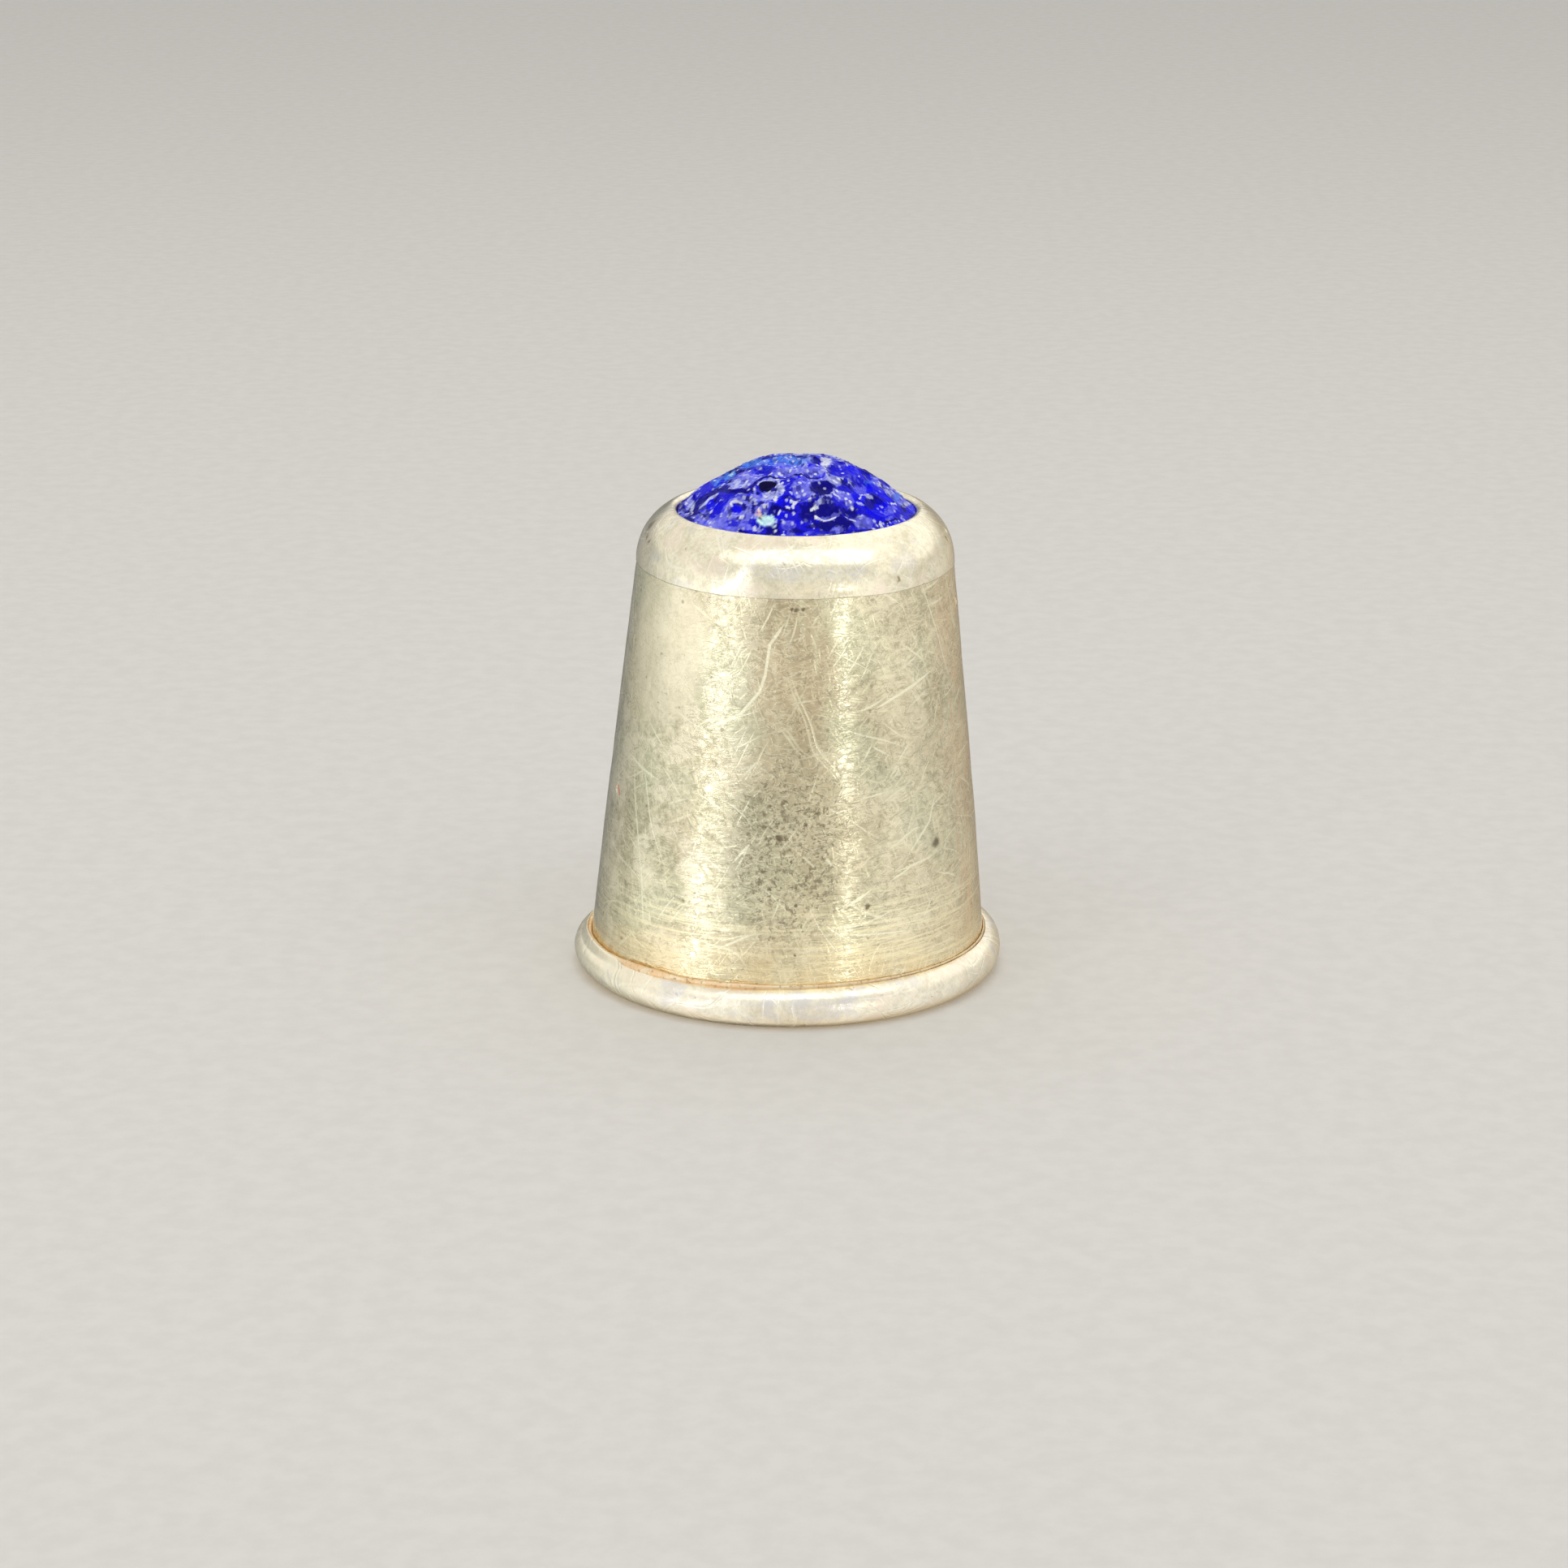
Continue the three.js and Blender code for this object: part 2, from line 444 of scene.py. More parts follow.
def hairline(position, warp, seam, direction, length, width, share, offset):
    """One layer of hairline scratches. The surface is unrolled at its own seam angle, so no two
    layers share a seam. Each scratch is a thin tapered stroke in a cell of a stretched pattern."""
    x, y, z = split(position.spun(seam))
    flat = join(math_node("ARCTAN2", y, x) * WALL_MEAN_R, z, 0.0)
    along = (flat + warp).spun(direction)
    # one cell is 1.3 strokes long and 1.3 strokes wide
    stretch = (0.75 / length, 0.75 / width, 0.0)
    place = vector_math("MULTIPLY_ADD", along, stretch, offset)
    distance, colour = place.cells(scale=1.0, dimensions="2D")
    luck, strength, _ = split_colour(colour)
    chosen = (luck < share) * strength.ramp(over=(0.0, 1.0), to=(0.25, 1.0), smooth=False)
    return distance.ramp(over=(0.38, 0.12)) * chosen


def hairlines(position, warp, layers):
    """Layers of (seam and direction in degrees, length and width in mm, share of cells)."""
    return strongest(
        hairline(position, warp, *layer,
                 offset=(17.3 * k + 3.1 + layer[0] * 0.37, 9.7 * k + 1.9, 0.0))
        for k, layer in enumerate(layers))


def stroke_parts(flat, points, width):
    last = len(points) - 2
    for k, ((x0, y0), (x1, y1)) in enumerate(zip(points[:-1], points[1:])):
        dx, dy = x1 - x0, y1 - y0
        square = dx * dx + dy * dy
        from_start = flat - (x0, y0, 0.0)
        along = vector_math("DOT_PRODUCT", from_start, (dx / square, dy / square, 0.0))
        along = clamped_sum(along, 0.0)
        back = join(along, along, 0.0)
        off = vector_math("MULTIPLY_ADD", back, (-dx, -dy, 0.0), from_start).length()
        taper = min(0.45, 1.0 / math.sqrt(square))
        half = 1.0
        if k == 0:
            half = along.ramp(over=(0.0, taper), to=(0.3, 1.0))
        if k == last:
            half = half * along.ramp(over=(1.0, 1.0 - taper), to=(0.3, 1.0))
        yield (half - off / width).ramp(over=(0.0, 0.7))


def stroke(flat, points, width):
    """A scratch through points of the unrolled wall: round joints, and both ends tapered."""
    return strongest(stroke_parts(flat, points, width))


def spots(flat, rows):
    """Soft-edged spots (x, y, radius) on the unrolled wall."""
    return strongest(
        (vector_math("DISTANCE", flat, (x, y, 0.0)) / radius).ramp(over=(1.0, 0.3))
        for x, y, radius in rows)


def specks(position, scale, fade, least):
    """Small round specks, in the cells whose random value is above least."""
    distance, colour = position.cells(scale)
    return distance.ramp(over=fade) * (split_colour(colour)[0] > least)


def oval(flat, centre, shrink):
    """Distance from centre on the unrolled wall, 1 at an oval of half sizes 1 / shrink."""
    return ((flat - (*centre, 0.0)) * (*shrink, 0.0)).length()


# ---------------------------------------------------------------- silver of the wall
SILVER_LIGHT = (0.89, 0.835, 0.61)
SILVER_DARK = (0.42, 0.39, 0.262)

# The scratches that stand out on the front: points in mm round the wall from the front and in
# height, half width in mm, strength
SCRATCHES = [
    ([(-0.18, 16.97), (-0.88, 16.02), (-1.04, 14.74), (-1.28, 14.04), (-2.14, 13.05),
      (-3.86, 12.27)], 0.10, 1.0),
    ([(7.43, 14.29), (3.69, 13.07)], 0.085, 1.0),
    ([(-8.60, 10.27), (-7.47, 9.95), (-6.22, 9.70)], 0.085, 1.0),
    ([(-8.12, 10.09), (-6.70, 5.60), (-6.29, 3.19)], 0.07, 0.85),
    ([(-7.31, 12.10), (-5.75, 10.88)], 0.06, 0.8), ([(-1.09, 11.36), (-2.04, 10.36)], 0.075, 0.9),
    ([(-3.81, 9.50), (-2.61, 8.89)], 0.08, 0.9), ([(-1.38, 8.00), (-2.40, 6.67)], 0.085, 1.0),
    ([(-1.60, 7.69), (-2.21, 6.39)], 0.06, 0.9), ([(1.40, 7.16), (2.03, 6.62)], 0.10, 1.0),
    ([(7.03, 9.02), (6.55, 7.92), (5.10, 6.60)], 0.075, 1.0),
    ([(7.07, 6.51), (4.45, 6.13)], 0.07, 0.9), ([(3.70, 11.78), (3.21, 11.01)], 0.07, 0.8),
    ([(3.61, 5.67), (1.99, 4.81)], 0.095, 1.0), ([(5.79, 6.41), (4.07, 5.69)], 0.065, 0.9),
    ([(-1.03, 4.02), (-3.16, 2.87)], 0.075, 0.9), ([(2.03, 3.80), (5.22, 3.53)], 0.06, 0.8),
    ([(-5.23, 17.46), (-3.60, 16.74)], 0.075, 0.7), ([(10.93, 13.01), (8.79, 12.28)], 0.07, 0.8),
    ([(1.35, 10.91), (0.75, 9.23)], 0.05, 0.7), ([(2.97, 9.47), (4.35, 9.67)], 0.065, 0.8),
]
# Hairline layers: seam and direction in degrees, length and width in mm, share of cells
LONG_HAIRLINES = [(10, 62, 6.5, 0.12, 0.022), (190, 24, 6.0, 0.12, 0.022)]
MEDIUM_HAIRLINES = [
    (25, 35, 2.4, 0.13, 0.075), (120, -62, 2.0, 0.12, 0.075), (300, -16, 2.0, 0.13, 0.085)]
SHORT_HAIRLINES = [
    (70, 12, 1.0, 0.12, 0.26), (160, -38, 0.8, 0.11, 0.24), (260, 72, 0.9, 0.12, 0.22)]
DARK_HAIRLINES = [(45, -14, 0.8, 0.13, 0.24), (135, 58, 0.7, 0.13, 0.24)]
SATIN_HAIRLINES = [
    (15, 8, 3.2, 0.13, 0.11), (110, -22, 2.6, 0.13, 0.10), (205, 55, 2.2, 0.12, 0.10),
    (300, -64, 1.6, 0.12, 0.12), (60, 30, 0.9, 0.12, 0.20)]
# Dark spots: mm round the wall from the front, height, radius
WALL_SPOTS = [
    (-0.34, 7.99, 0.21), (6.86, 6.9, 0.30), (0.75, 8.6, 0.13), (0.52, 9.41, 0.09),
    (0.34, 17.45, 0.17), (0.62, 17.43, 0.15), (0.1, 17.5, 0.14), (3.26, 4.89, 0.17),
    (0.32, 5.16, 0.12), (0.27, 3.07, 0.11)]
SATIN_SPOTS = [
    (-10.9, 19.55, 0.42), (-10.2, 19.2, 0.22), (-9.6, 19.0, 0.16), (1.4, 18.12, 0.13),
    (5.4, 18.35, 0.16), (10.6, 19.1, 0.2)]
FIBRE = [(-9.49, 8.66), (-9.35, 8.40), (-9.08, 8.22)]


def wander(noise):
    """A vector that drifts about zero with the colour of a noise."""
    return join(*split_colour(noise_colour(noise))) - MIDDLE


def wall_colour(position, flat, ragged, spread, smooth_sheen_patch, mottle, blotch, tick):
    """The rubbed, blotchy silver between scratches, with painted sheen on the left and painted
    darker reflections at the front and on the right, and the mask of the dark reflection at the
    front.
    """
    tone = mottle.ramp(over=(0.32, 0.68), to=(-0.30, 0.30))
    tone = tone + blotch.ramp(over=(0.36, 0.64), to=(-0.24, 0.24))
    colour = mix(SILVER_DARK, SILVER_LIGHT, amount=clamped_sum(0.50 + tone, tick * 0.20))
    # slow drift to a warm and to a green silver
    hue = (position + (3, 11, 17)).noise(scale=0.28, detail=1.0)
    warm, green = hue.ramp(over=(0.44, 0.62), to=(0.0, 0.45)), hue.ramp((0.50, 0.36), (0.0, 0.40))
    colour = mix(colour, (0.80, 0.70, 0.50), amount=warm)
    colour = mix(colour, (0.66, 0.68, 0.49), amount=green)
    # cream patches of painted sheen, most of them on the left, and the painted sheen of the smooth
    # patch
    across = split(flat)[0]
    cream = (position + (9, 2, 23)).noise(scale=0.55, detail=3.0, roughness=0.6)
    left = abs(across + 11.0).ramp(over=(9.5, 6.0), to=(0.35, 1.0))
    left_sheen = cream.ramp(over=(0.46, 0.60), to=(0.0, 0.80)) * left | smooth_sheen_patch * 0.60
    colour = mix(colour, (0.97, 0.895, 0.69), amount=left_sheen)
    # painted reflection: browner silver at the right edge, in upright streaks
    streak = (ragged * (2.6, 0.35, 1.0)).noise(scale=1.0)
    right = abs(across - 12.0).ramp(over=(5.6, 2.4))
    right_edge_reflection = streak.ramp(over=(0.44, 0.62), to=(0.25, 1.0)) * right
    colour = mix(colour, (0.80, 0.58, 0.38), amount=right_edge_reflection * 0.72)
    # painted reflection: darker brown at the front under the collar, in the same streaks
    reflection_under_collar = oval(spread, centre=(0.2, 15.0), shrink=(0.50, 0.27)).ramp(over=(1.2, 0.6))
    reflection_under_collar = reflection_under_collar * streak.ramp(over=(0.36, 0.60), to=(0.35, 1.0))
    colour = mix(colour, (0.56, 0.455, 0.31), amount=reflection_under_collar * 0.62)
    # painted dark reflection: a speckled patch in the middle of the front
    dark_front_reflection = oval(spread, centre=(0.1, 7.3), shrink=(0.36, 0.215)).ramp(over=(1.15, 0.55))
    dark_front_reflection = dark_front_reflection * mottle.ramp(over=(0.36, 0.60), to=(0.25, 1.0))
    return mix(colour, (0.37, 0.345, 0.235), amount=dark_front_reflection * 0.34), dark_front_reflection


def wall_dirt(position, flat, blotch, dark_front_reflection):
    """Dark specks and spots."""
    pits = position.noise(scale=4.6, detail=3.0, roughness=0.7)
    pit = pits.ramp(over=(0.60, 0.72)) * blotch.ramp(over=(0.54, 0.42))
    tiny = specks(position, scale=1.15, fade=(0.13, 0.05), least=0.84)
    frayed = flat + wander(position.noise(scale=3.0)).scaled(0.3)
    named = spots(frayed, WALL_SPOTS)
    fleck = pits.ramp(over=(0.50, 0.60)) * (dark_front_reflection * 0.80)
    return tiny * 0.55 | pit * 0.6 | named | fleck


def wall_silver():
    material, surface, position = new_material("worn_silver_wall")
    height = split(position)[2]
    flat = unrolled(position)
    warp_small = wander(position.noise(scale=0.30, detail=1.0)).scaled(1.5)
    warp_large = wander((position + (31, 7, 5)).noise(scale=0.22, detail=1.0)).scaled(2.0)
    ragged = flat + wander(position.noise(scale=1.6)).scaled(0.16)
    long_lines = hairlines(position, warp_large, LONG_HAIRLINES)
    medium_lines = hairlines(position, warp_large, MEDIUM_HAIRLINES)
    short_lines = hairlines(position, warp_small, SHORT_HAIRLINES)
    dark_lines = hairlines(position, warp_small, DARK_HAIRLINES)
    # wandering hair-thin lines, where the polished skin is crazed
    hairs = (ragged * (1.5, 2.6, 1.0)).noise(scale=1.0, detail=3.5, roughness=0.62, distortion=0.8)
    pale_hair = abs(hairs - 0.50).ramp(over=(0.022, 0.003))
    dark_hair = abs(hairs - 0.565).ramp(over=(0.026, 0.004))
    # short level ticks everywhere, and long lines of the lathe near the foot
    ticks = (ragged * (0.75, 4.4, 1.0)).noise(scale=1.0, detail=3.0, roughness=0.62)
    tick = ticks.ramp(over=(0.46, 0.66))
    lathe_lines = (ragged * (0.16, 5.2, 1.0)).noise(scale=1.0, detail=2.5, roughness=0.62)
    patch = position.noise(scale=0.17, detail=1.5)
    near_foot = height.ramp(over=(7.2, 3.4)) * patch.ramp(over=(0.35, 0.6), to=(0.55, 1.0))
    lathe = lathe_lines.ramp(over=(0.47, 0.60)) * near_foot
    # a smooth patch high on the left, with fewer scratches and painted sheen
    spread = flat + wander(patch).scaled(2.2)
    smooth_sheen_patch = oval(spread, centre=(-6.5, 15.0), shrink=(0.36, 0.31)).ramp(over=(1.15, 0.80))
    busy = 1.0 - smooth_sheen_patch * 0.8
    plane = (flat + warp_small.scaled(0.10)) * (1.0, 1.0, 0.0)
    chosen = strongest(stroke(plane, points, width) * strength
                       for points, width, strength in SCRATCHES)
    plain = (medium_lines * 0.75 | long_lines * 0.8) * busy
    lines = plain | chosen
    fine = (short_lines * 0.50 | pale_hair * 0.42) * busy
    mottle = ragged.noise(scale=3.1, detail=4.0, roughness=0.65)
    blotch = (position * (1.0, 1.0, 0.8)).noise(scale=0.42, detail=3.0, roughness=0.55)
    colour, dark_front_reflection = wall_colour(position, flat, ragged, spread, smooth_sheen_patch, mottle, blotch, tick)
    # dark scratches below, bright ones over them
    darker = dark_lines * 0.45 | dark_hair * dark_front_reflection.ramp(over=(0.0, 0.5), to=(0.42, 0.85))
    colour = mix(colour, (0.30, 0.28, 0.19), amount=darker * busy)
    colour = mix(colour, (1.0, 0.945, 0.69), amount=fine)
    colour = mix(colour, (1.0, 0.93, 0.64), amount=lathe * 0.72)
    colour = mix(colour, (1.0, 0.975, 0.75), amount=lines * 0.92)
    # warm tarnish that creeps up from the solder
    tarnish = position.noise(scale=0.5, detail=3.0).ramp(over=(0.30, 0.62), to=(0.3, 1.0))
    creep = height.ramp(over=(4.3, 1.7)) * tarnish
    colour = mix(colour, (0.90, 0.71, 0.40), amount=creep * 0.55)
    dirt = wall_dirt(position, flat, blotch, dark_front_reflection)
    colour = mix(colour, (0.16, 0.12, 0.075), amount=dirt * 0.85)
    # the waist is duller than the ends, which fingers rub bright
    waist = abs(height - 9.8).ramp(over=(6.2, 2.0), to=(1.0, 0.90))
    # one pink fibre is stuck to the left side
    fibre = stroke(plane, FIBRE, width=0.13)
    colour = mix(colour.scaled(waist), (0.85, 0.36, 0.28), amount=fibre)
    raised = mottle * 0.5 + tick * 0.7
    cuts = (plain | fine) * 0.9 + (lathe * 0.6 + darker * 0.6)
    set_inputs(surface, {
        "Base Color": colour,
        "Metallic": 1.0,
        "Roughness": mottle.ramp(over=(0.3, 0.7), to=(0.25, 0.14)) + (lines | fine) * 0.08,
        "Normal": bump(raised - cuts, depth=0.010)})
    return material


# ---------------------------------------------------------------- the other materials
def rim_tint_and_reflections(position, colour):
    """The rim is golden next to the wall, with a painted cream highlight on the left and a painted
    brown reflection at its foot.
    """
    x, y, z = split(position)
    radius = join(x, y, 0.0).length()
    inner = radius.ramp(over=(FOOT_R + 0.36, FOOT_R + 0.06))
    inner = inner * x.ramp(over=(5.0, -5.0), to=(0.25, 1.0))
    colour = mix(colour, (0.88, 0.62, 0.32), amount=inner * 0.45)
    # painted highlight: lighter cream on the left side
    colour = mix(colour, (1.0, 0.935, 0.73), amount=x.ramp(over=(-4.0, -8.0), to=(0.0, 0.65)))
    # painted reflection: browner towards the foot
    return mix(colour, (0.76, 0.61, 0.39), amount=z.ramp(over=(0.70, 0.10)) * 0.78)


def satin_silver(name, scratch_gain, cool, warm, roughness, frost, lilac, is_rim=False):
    """The rubbed silver of the collar and the rim: lighter, satin, with fewer scratches."""
    material, surface, position = new_material(name)
    drift = noise_colour(position.noise(scale=0.25, detail=1.0)) - MIDDLE
    lines = hairlines(position, drift.scaled(3.0), SATIN_HAIRLINES) * scratch_gain
    mottle = position.noise(scale=2.8, detail=4.0, roughness=0.62)
    grain = (position + (5, 5, 5)).noise(scale=7.5)
    blotch = position.noise(scale=0.55, detail=2.5)
    tone = clamped_sum(mottle.ramp(over=(0.32, 0.68), to=(0.28, 0.96)),
                       blotch.ramp(over=(0.34, 0.66), to=(-0.28, 0.28))
                       + grain.ramp(over=(0.3, 0.7), to=(-0.22, 0.22)))
    colour = mix(cool, warm, amount=tone)
    # pinkish patches, and lilac patches of painted cool reflection
    hue = (position + (8, 1, 4)).noise(scale=0.8, detail=3.0, roughness=0.55)
    pink, cool_reflection = hue.ramp(over=(0.52, 0.66), to=(0.0, 0.55)), hue.ramp((0.47, 0.35), (0.0, lilac))
    colour = mix(colour, (0.93, 0.80, 0.68), amount=pink)
    colour = mix(colour, (0.74, 0.73, 0.78), amount=cool_reflection)
    colour = mix(colour, (1.0, 0.97, 0.84), amount=lines * 0.7)
    # brown specks and stains, and a few darker spots
    tiny = specks(position, scale=1.3, fade=(0.13, 0.04), least=0.86)
    stain = mottle.ramp(over=(0.60, 0.72)) * blotch.ramp(over=(0.50, 0.36))
    colour = mix(colour, (0.34, 0.25, 0.15), amount=(tiny | stain) * 0.62)
    fray = noise_colour(position.noise(scale=2.0, detail=3.0)) - MIDDLE
    grime = spots(unrolled(position) + fray.scaled(0.7), SATIN_SPOTS)
    colour = mix(colour, (0.27, 0.20, 0.12), amount=grime * 0.75)
    if is_rim:
        colour = rim_tint_and_reflections(position, colour)
    rough = mottle.ramp(over=(0.3, 0.7), to=(roughness + 0.06, roughness - 0.05))
    set_inputs(surface, {
        "Base Color": colour,
        "Metallic": 1.0,
        "Roughness": rough + lines * 0.10,
        "Normal": bump(mottle * 0.8 + grain * 0.25 - lines, depth=frost)})
    return material


def inner_silver():
    """The inside of the wall: dull, tarnished, with the lines of the turning tool."""
    material, surface, position = new_material("tarnished_silver_inside")
    x, y, z = split(position)
    radius = join(x, y, 0.0).length()
    rings = join(radius * 9.0, z * 6.0, 0.0).noise(scale=1.0, detail=3.0, roughness=0.6)
    stain = position.noise(scale=0.5, detail=4.0, roughness=0.6)
    colour = mix((0.33, 0.27, 0.17), (0.70, 0.64, 0.48), amount=stain.ramp(over=(0.35, 0.65)))
    bright = rings.ramp(over=(0.45, 0.7), to=(0.0, 0.4))
    set_inputs(surface, {
        "Base Color": mix(colour, (0.82, 0.77, 0.60), amount=bright),
        "Metallic": 1.0,
        "Roughness": stain.ramp(over=(0.3, 0.7), to=(0.5, 0.34)),
        "Normal": bump(rings, depth=0.01)})
    return material


def solder_material():
    """Orange on the left, thinning to a brownish silver on the right."""
    material, surface, position = new_material("tarnished_solder")
    stain = position.noise(scale=1.1, detail=4.0, roughness=0.6)
    fine = position.noise(scale=7.0, detail=3.0, roughness=0.6)
    colour = mix((0.92, 0.65, 0.39), (0.93, 0.79, 0.56), amount=stain.ramp(over=(0.36, 0.62)))
    dull = split(position)[0].ramp(over=(-5.5, 2.5)) * stain.ramp(over=(0.3, 0.7), to=(1.0, 0.7))
    colour = mix(colour, (0.70, 0.57, 0.38), amount=dull * 0.8)
    dark = fine.ramp(over=(0.54, 0.70), to=(0.0, 0.6))
    set_inputs(surface, {
        "Base Color": mix(colour, (0.34, 0.21, 0.10), amount=dark),
        "Metallic": 0.75,
        "Roughness": fine.ramp(over=(0.3, 0.7), to=(0.38, 0.6)),
        "Normal": bump(fine, depth=0.02)})
    return material


def glass_material():
    """Pressed blue glass over crumpled foil. The foil's painted reflections and glints and the
    painted shade of the hollows are on the points of the dome; the dimpled skin of the glass shines
    over them."""
    material, surface, position = new_material("dimpled_blue_glass")
    paint = source(material.node_tree, "ShaderNodeAttribute", "Color", attribute_name="paint")
    distance, chip_colour = position.cells(scale=7.0)
    shade, gloss, _ = split_colour(chip_colour)
    # painted glitter: each small chip a little darker or brighter at random
    chips = mix((0.78, 0.78, 0.86), (1.18, 1.18, 1.06), amount=shade)
    set_inputs(surface, {
        "Base Color": mix(paint, chips, amount=1.0, blend="MULTIPLY"),
        "Roughness": gloss.ramp(over=(0.0, 1.0), to=(0.35, 0.5)),
        "Specular IOR Level": 0.03,
        "Coat Weight": 0.07,
        "Coat Roughness": 0.09,
        "Coat IOR": 1.5,
        "Coat Normal": bump(position.noise(scale=3.2), depth=0.05),
        "Normal": bump(distance, depth=0.02)})
    return material


def cement_material():
    material, surface, position = new_material("setting_cement")
    lumps = position.noise(scale=3.0, detail=5.0, roughness=0.6)
    set_inputs(surface, {
        "Base Color": mix((0.30, 0.26, 0.21), (0.52, 0.48, 0.41), amount=lumps),
        "Roughness": lumps.ramp(over=(0.3, 0.7), to=(0.95, 0.8)),
        "Normal": bump(lumps, depth=0.05)})
    return material


def foil_material():
    material, surface, position = new_material("crumpled_foil")
    creases, _ = position.cells(scale=1.8)
    set_inputs(surface, {
        "Base Color": mix((0.74, 0.77, 0.88), (0.9, 0.91, 0.96), amount=creases),
        "Metallic": 1.0,
        "Roughness": position.noise(scale=6.0).ramp(over=(0.3, 0.7), to=(0.2, 0.32)),
        "Normal": bump(creases, depth=0.04)})
    return material


# ---------------------------------------------------------------- wall
# Standing burrs: turn, height, how far they stand out
WALL_BURRS = [(0.972, 16.4, 0.11), (0.548, 14.9, 0.07), (0.55, 8.4, 0.09), (0.31, 11.0, 0.07),
              (0.13, 6.0, 0.06)]


def wall_relief(turn, z):
    """Height of the worn surface over the plain cone: a wavy skin, dings, scratches and burrs."""
    relief = ring_relief(turn, z, [(0.022, 9, 4.2, 11), (0.015, 26, 1.7, 12),
                                   (0.0055, 70, 0.65, 13), (0.002, 170, 0.27, 14)])
    rng = np.random.default_rng(15)
    relief = carve_dings(relief, turn, z, WALL_MEAN_R, rng, count=46, heights=(2.5, 17.5),
                         widths=(0.25, 0.8), tallness=(0.25, 0.8), depths=(0.006, 0.022))
    for _ in range(150):  # the deeper scratches, each a shallow arc
        centre, centre_z = rng.random(), rng.uniform(1.8, 17.8)
        angle = rng.uniform(0, math.pi)
        length, bend = rng.uniform(0.6, 3.2), rng.uniform(-0.12, 0.12)
        across, up = turns_from(turn, centre) * TAU * WALL_MEAN_R, z - centre_z
        along = across * math.cos(angle) + up * math.sin(angle)
        off = -across * math.sin(angle) + up * math.cos(angle) - bend * along * along
        groove = np.exp(-(off / 0.10) ** 2) * (1 - (along / length) ** 2)
        relief -= rng.uniform(0.003, 0.009) * np.where(np.abs(along) < length, groove, 0)
    for centre, centre_z, stand in WALL_BURRS:
        relief += stand * bell(turn, z, WALL_MEAN_R, centre, centre_z, 0.09, 0.16)
    return relief


def build_wall():
    columns = 540
    turn = turns_row(columns)
    top_edge = 0.06   # bevel under the top face
    hidden = resample([[FOOT_R - WALL_THICK + 0.05, 0.0], [FOOT_R - 0.05, 0.0], [FOOT_R, 0.05],
                       [FOOT_R, 1.25], [cone_radius(1.42), 1.42]], 12)
    outer_z = np.linspace(LOW_Z, WALL_TOP - top_edge, 144)
    outer = np.stack([cone_radius(outer_z), outer_z], -1)
    top = np.array([[TOP_R - 0.05, WALL_TOP], [TOP_R - WALL_THICK + 0.05, WALL_TOP]])
    inner_z = np.linspace(WALL_TOP - top_edge, 0.05, 18)
    inner_r = np.minimum(cone_radius(np.maximum(inner_z, LOW_Z)) - WALL_THICK,
                         FOOT_R - WALL_THICK)
    inner = np.stack([inner_r, inner_z], -1)
    profile = np.concatenate([hidden, outer, top, inner])
    row = np.arange(len(profile))
    is_inner = row >= len(profile) - len(inner)
    is_outer = (row >= len(hidden)) & (row < len(hidden) + len(outer))
    radius, z = sweep(profile, columns)
    blend = np.where(is_outer[:, None], ease(z, 1.85, 2.6), 0)
    keep = ease(z, WALL_TOP - 0.12, WALL_TOP - 0.6)  # the top is held by the collar
    radius = radius + wall_relief(turn, z) * blend * (0.06 + 0.94 * keep)
    wavy = ring_relief(turn, z, [(0.012, 14, 3.0, 21), (0.004, 60, 0.8, 22)])
    wavy = wavy * ease(z, 0.0, 1.0) * ease(z, WALL_TOP, WALL_TOP - 1.5)
    radius = radius + np.where(is_inner[:, None], wavy, 0)
    slots = np.repeat(np.where(is_inner, 1, 0), columns)
    return turned("cone_wall_worn", radius, z, turn, slots=slots)


# ---------------------------------------------------------------- rim and solder
def build_rim():
    """Rounded ring: uneven in height, lowest on the left, where its top edge stands off the wall."""
    columns = 640
    turn = turns_row(columns)
    inner = FOOT_R + 0.035
    bead_r, bead_height, bead_z = 0.73, 0.84, 0.80   # half sizes and middle of the section
    middle_r = RIM_R - bead_r - 0.012
    low = -math.asin(bead_z / bead_height * 0.995)
    high = math.acos((inner - middle_r) / bead_r)
    angle = np.linspace(low, high, 62)[:, None]
    radius = np.repeat(middle_r + bead_r * np.cos(angle), columns, 1)
    z = np.repeat(bead_z + bead_height * np.sin(angle), columns, 1)
    gain = rim_swell(turn) + 0.02 * ring_noise(turn, turn * 0, knots=11, spacing=1.0, seed=31)
    z = np.where(z > 0.5, 0.5 + (z - 0.5) * gain, z)
    radius = radius + ring_relief(turn, z, [(0.018, 16, 1.2, 32), (0.009, 60, 0.5, 33),
                                            (0.0035, 200, 0.25, 34)])
    top = ease(angle, high - 0.55, high)
    lip = np.exp(-(turns_from(turn, 0.515) / 0.075) ** 2)
    lip = lip + 0.45 * np.exp(-(turns_from(turn, 0.60) / 0.05) ** 2)
    z = z + top * lip * 0.30
    radius = radius + top * lip * 0.10
    radius = carve_dings(radius, turn, z, RIM_R, np.random.default_rng(35), count=40,
                         heights=(0.2, 1.2), widths=(0.12, 0.6), tallness=(0.1, 0.3),
                         depths=(0.006, 0.03))
    radius = np.minimum(radius, RIM_R)
    # inner side: down behind the top edge, then along the flat foot
    back = np.linspace(0, 1, 14)[1:, None]
    gap = inner + lip * 0.10
    back_r = radius[-1:] + (gap - radius[-1:]) * np.minimum(back * 3, 1)
    back_r = np.where(back > 0.45, gap + (inner - gap) * ease(back, 0.45, 0.8), back_r)
    back_z = z[-1:] + (0.05 - z[-1:]) * back
    foot = np.linspace(0, 1, 5)[1:, None]
    foot_r = inner + 0.03 + (radius[:1] - inner - 0.03) * foot * 0.9
    radius = np.concatenate([radius, back_r, foot_r])
    z = np.concatenate([np.maximum(z, 0.0), back_z, np.zeros_like(foot_r)])
    return turned("rim_ring_worn", radius, z, turn, lean=0.0)


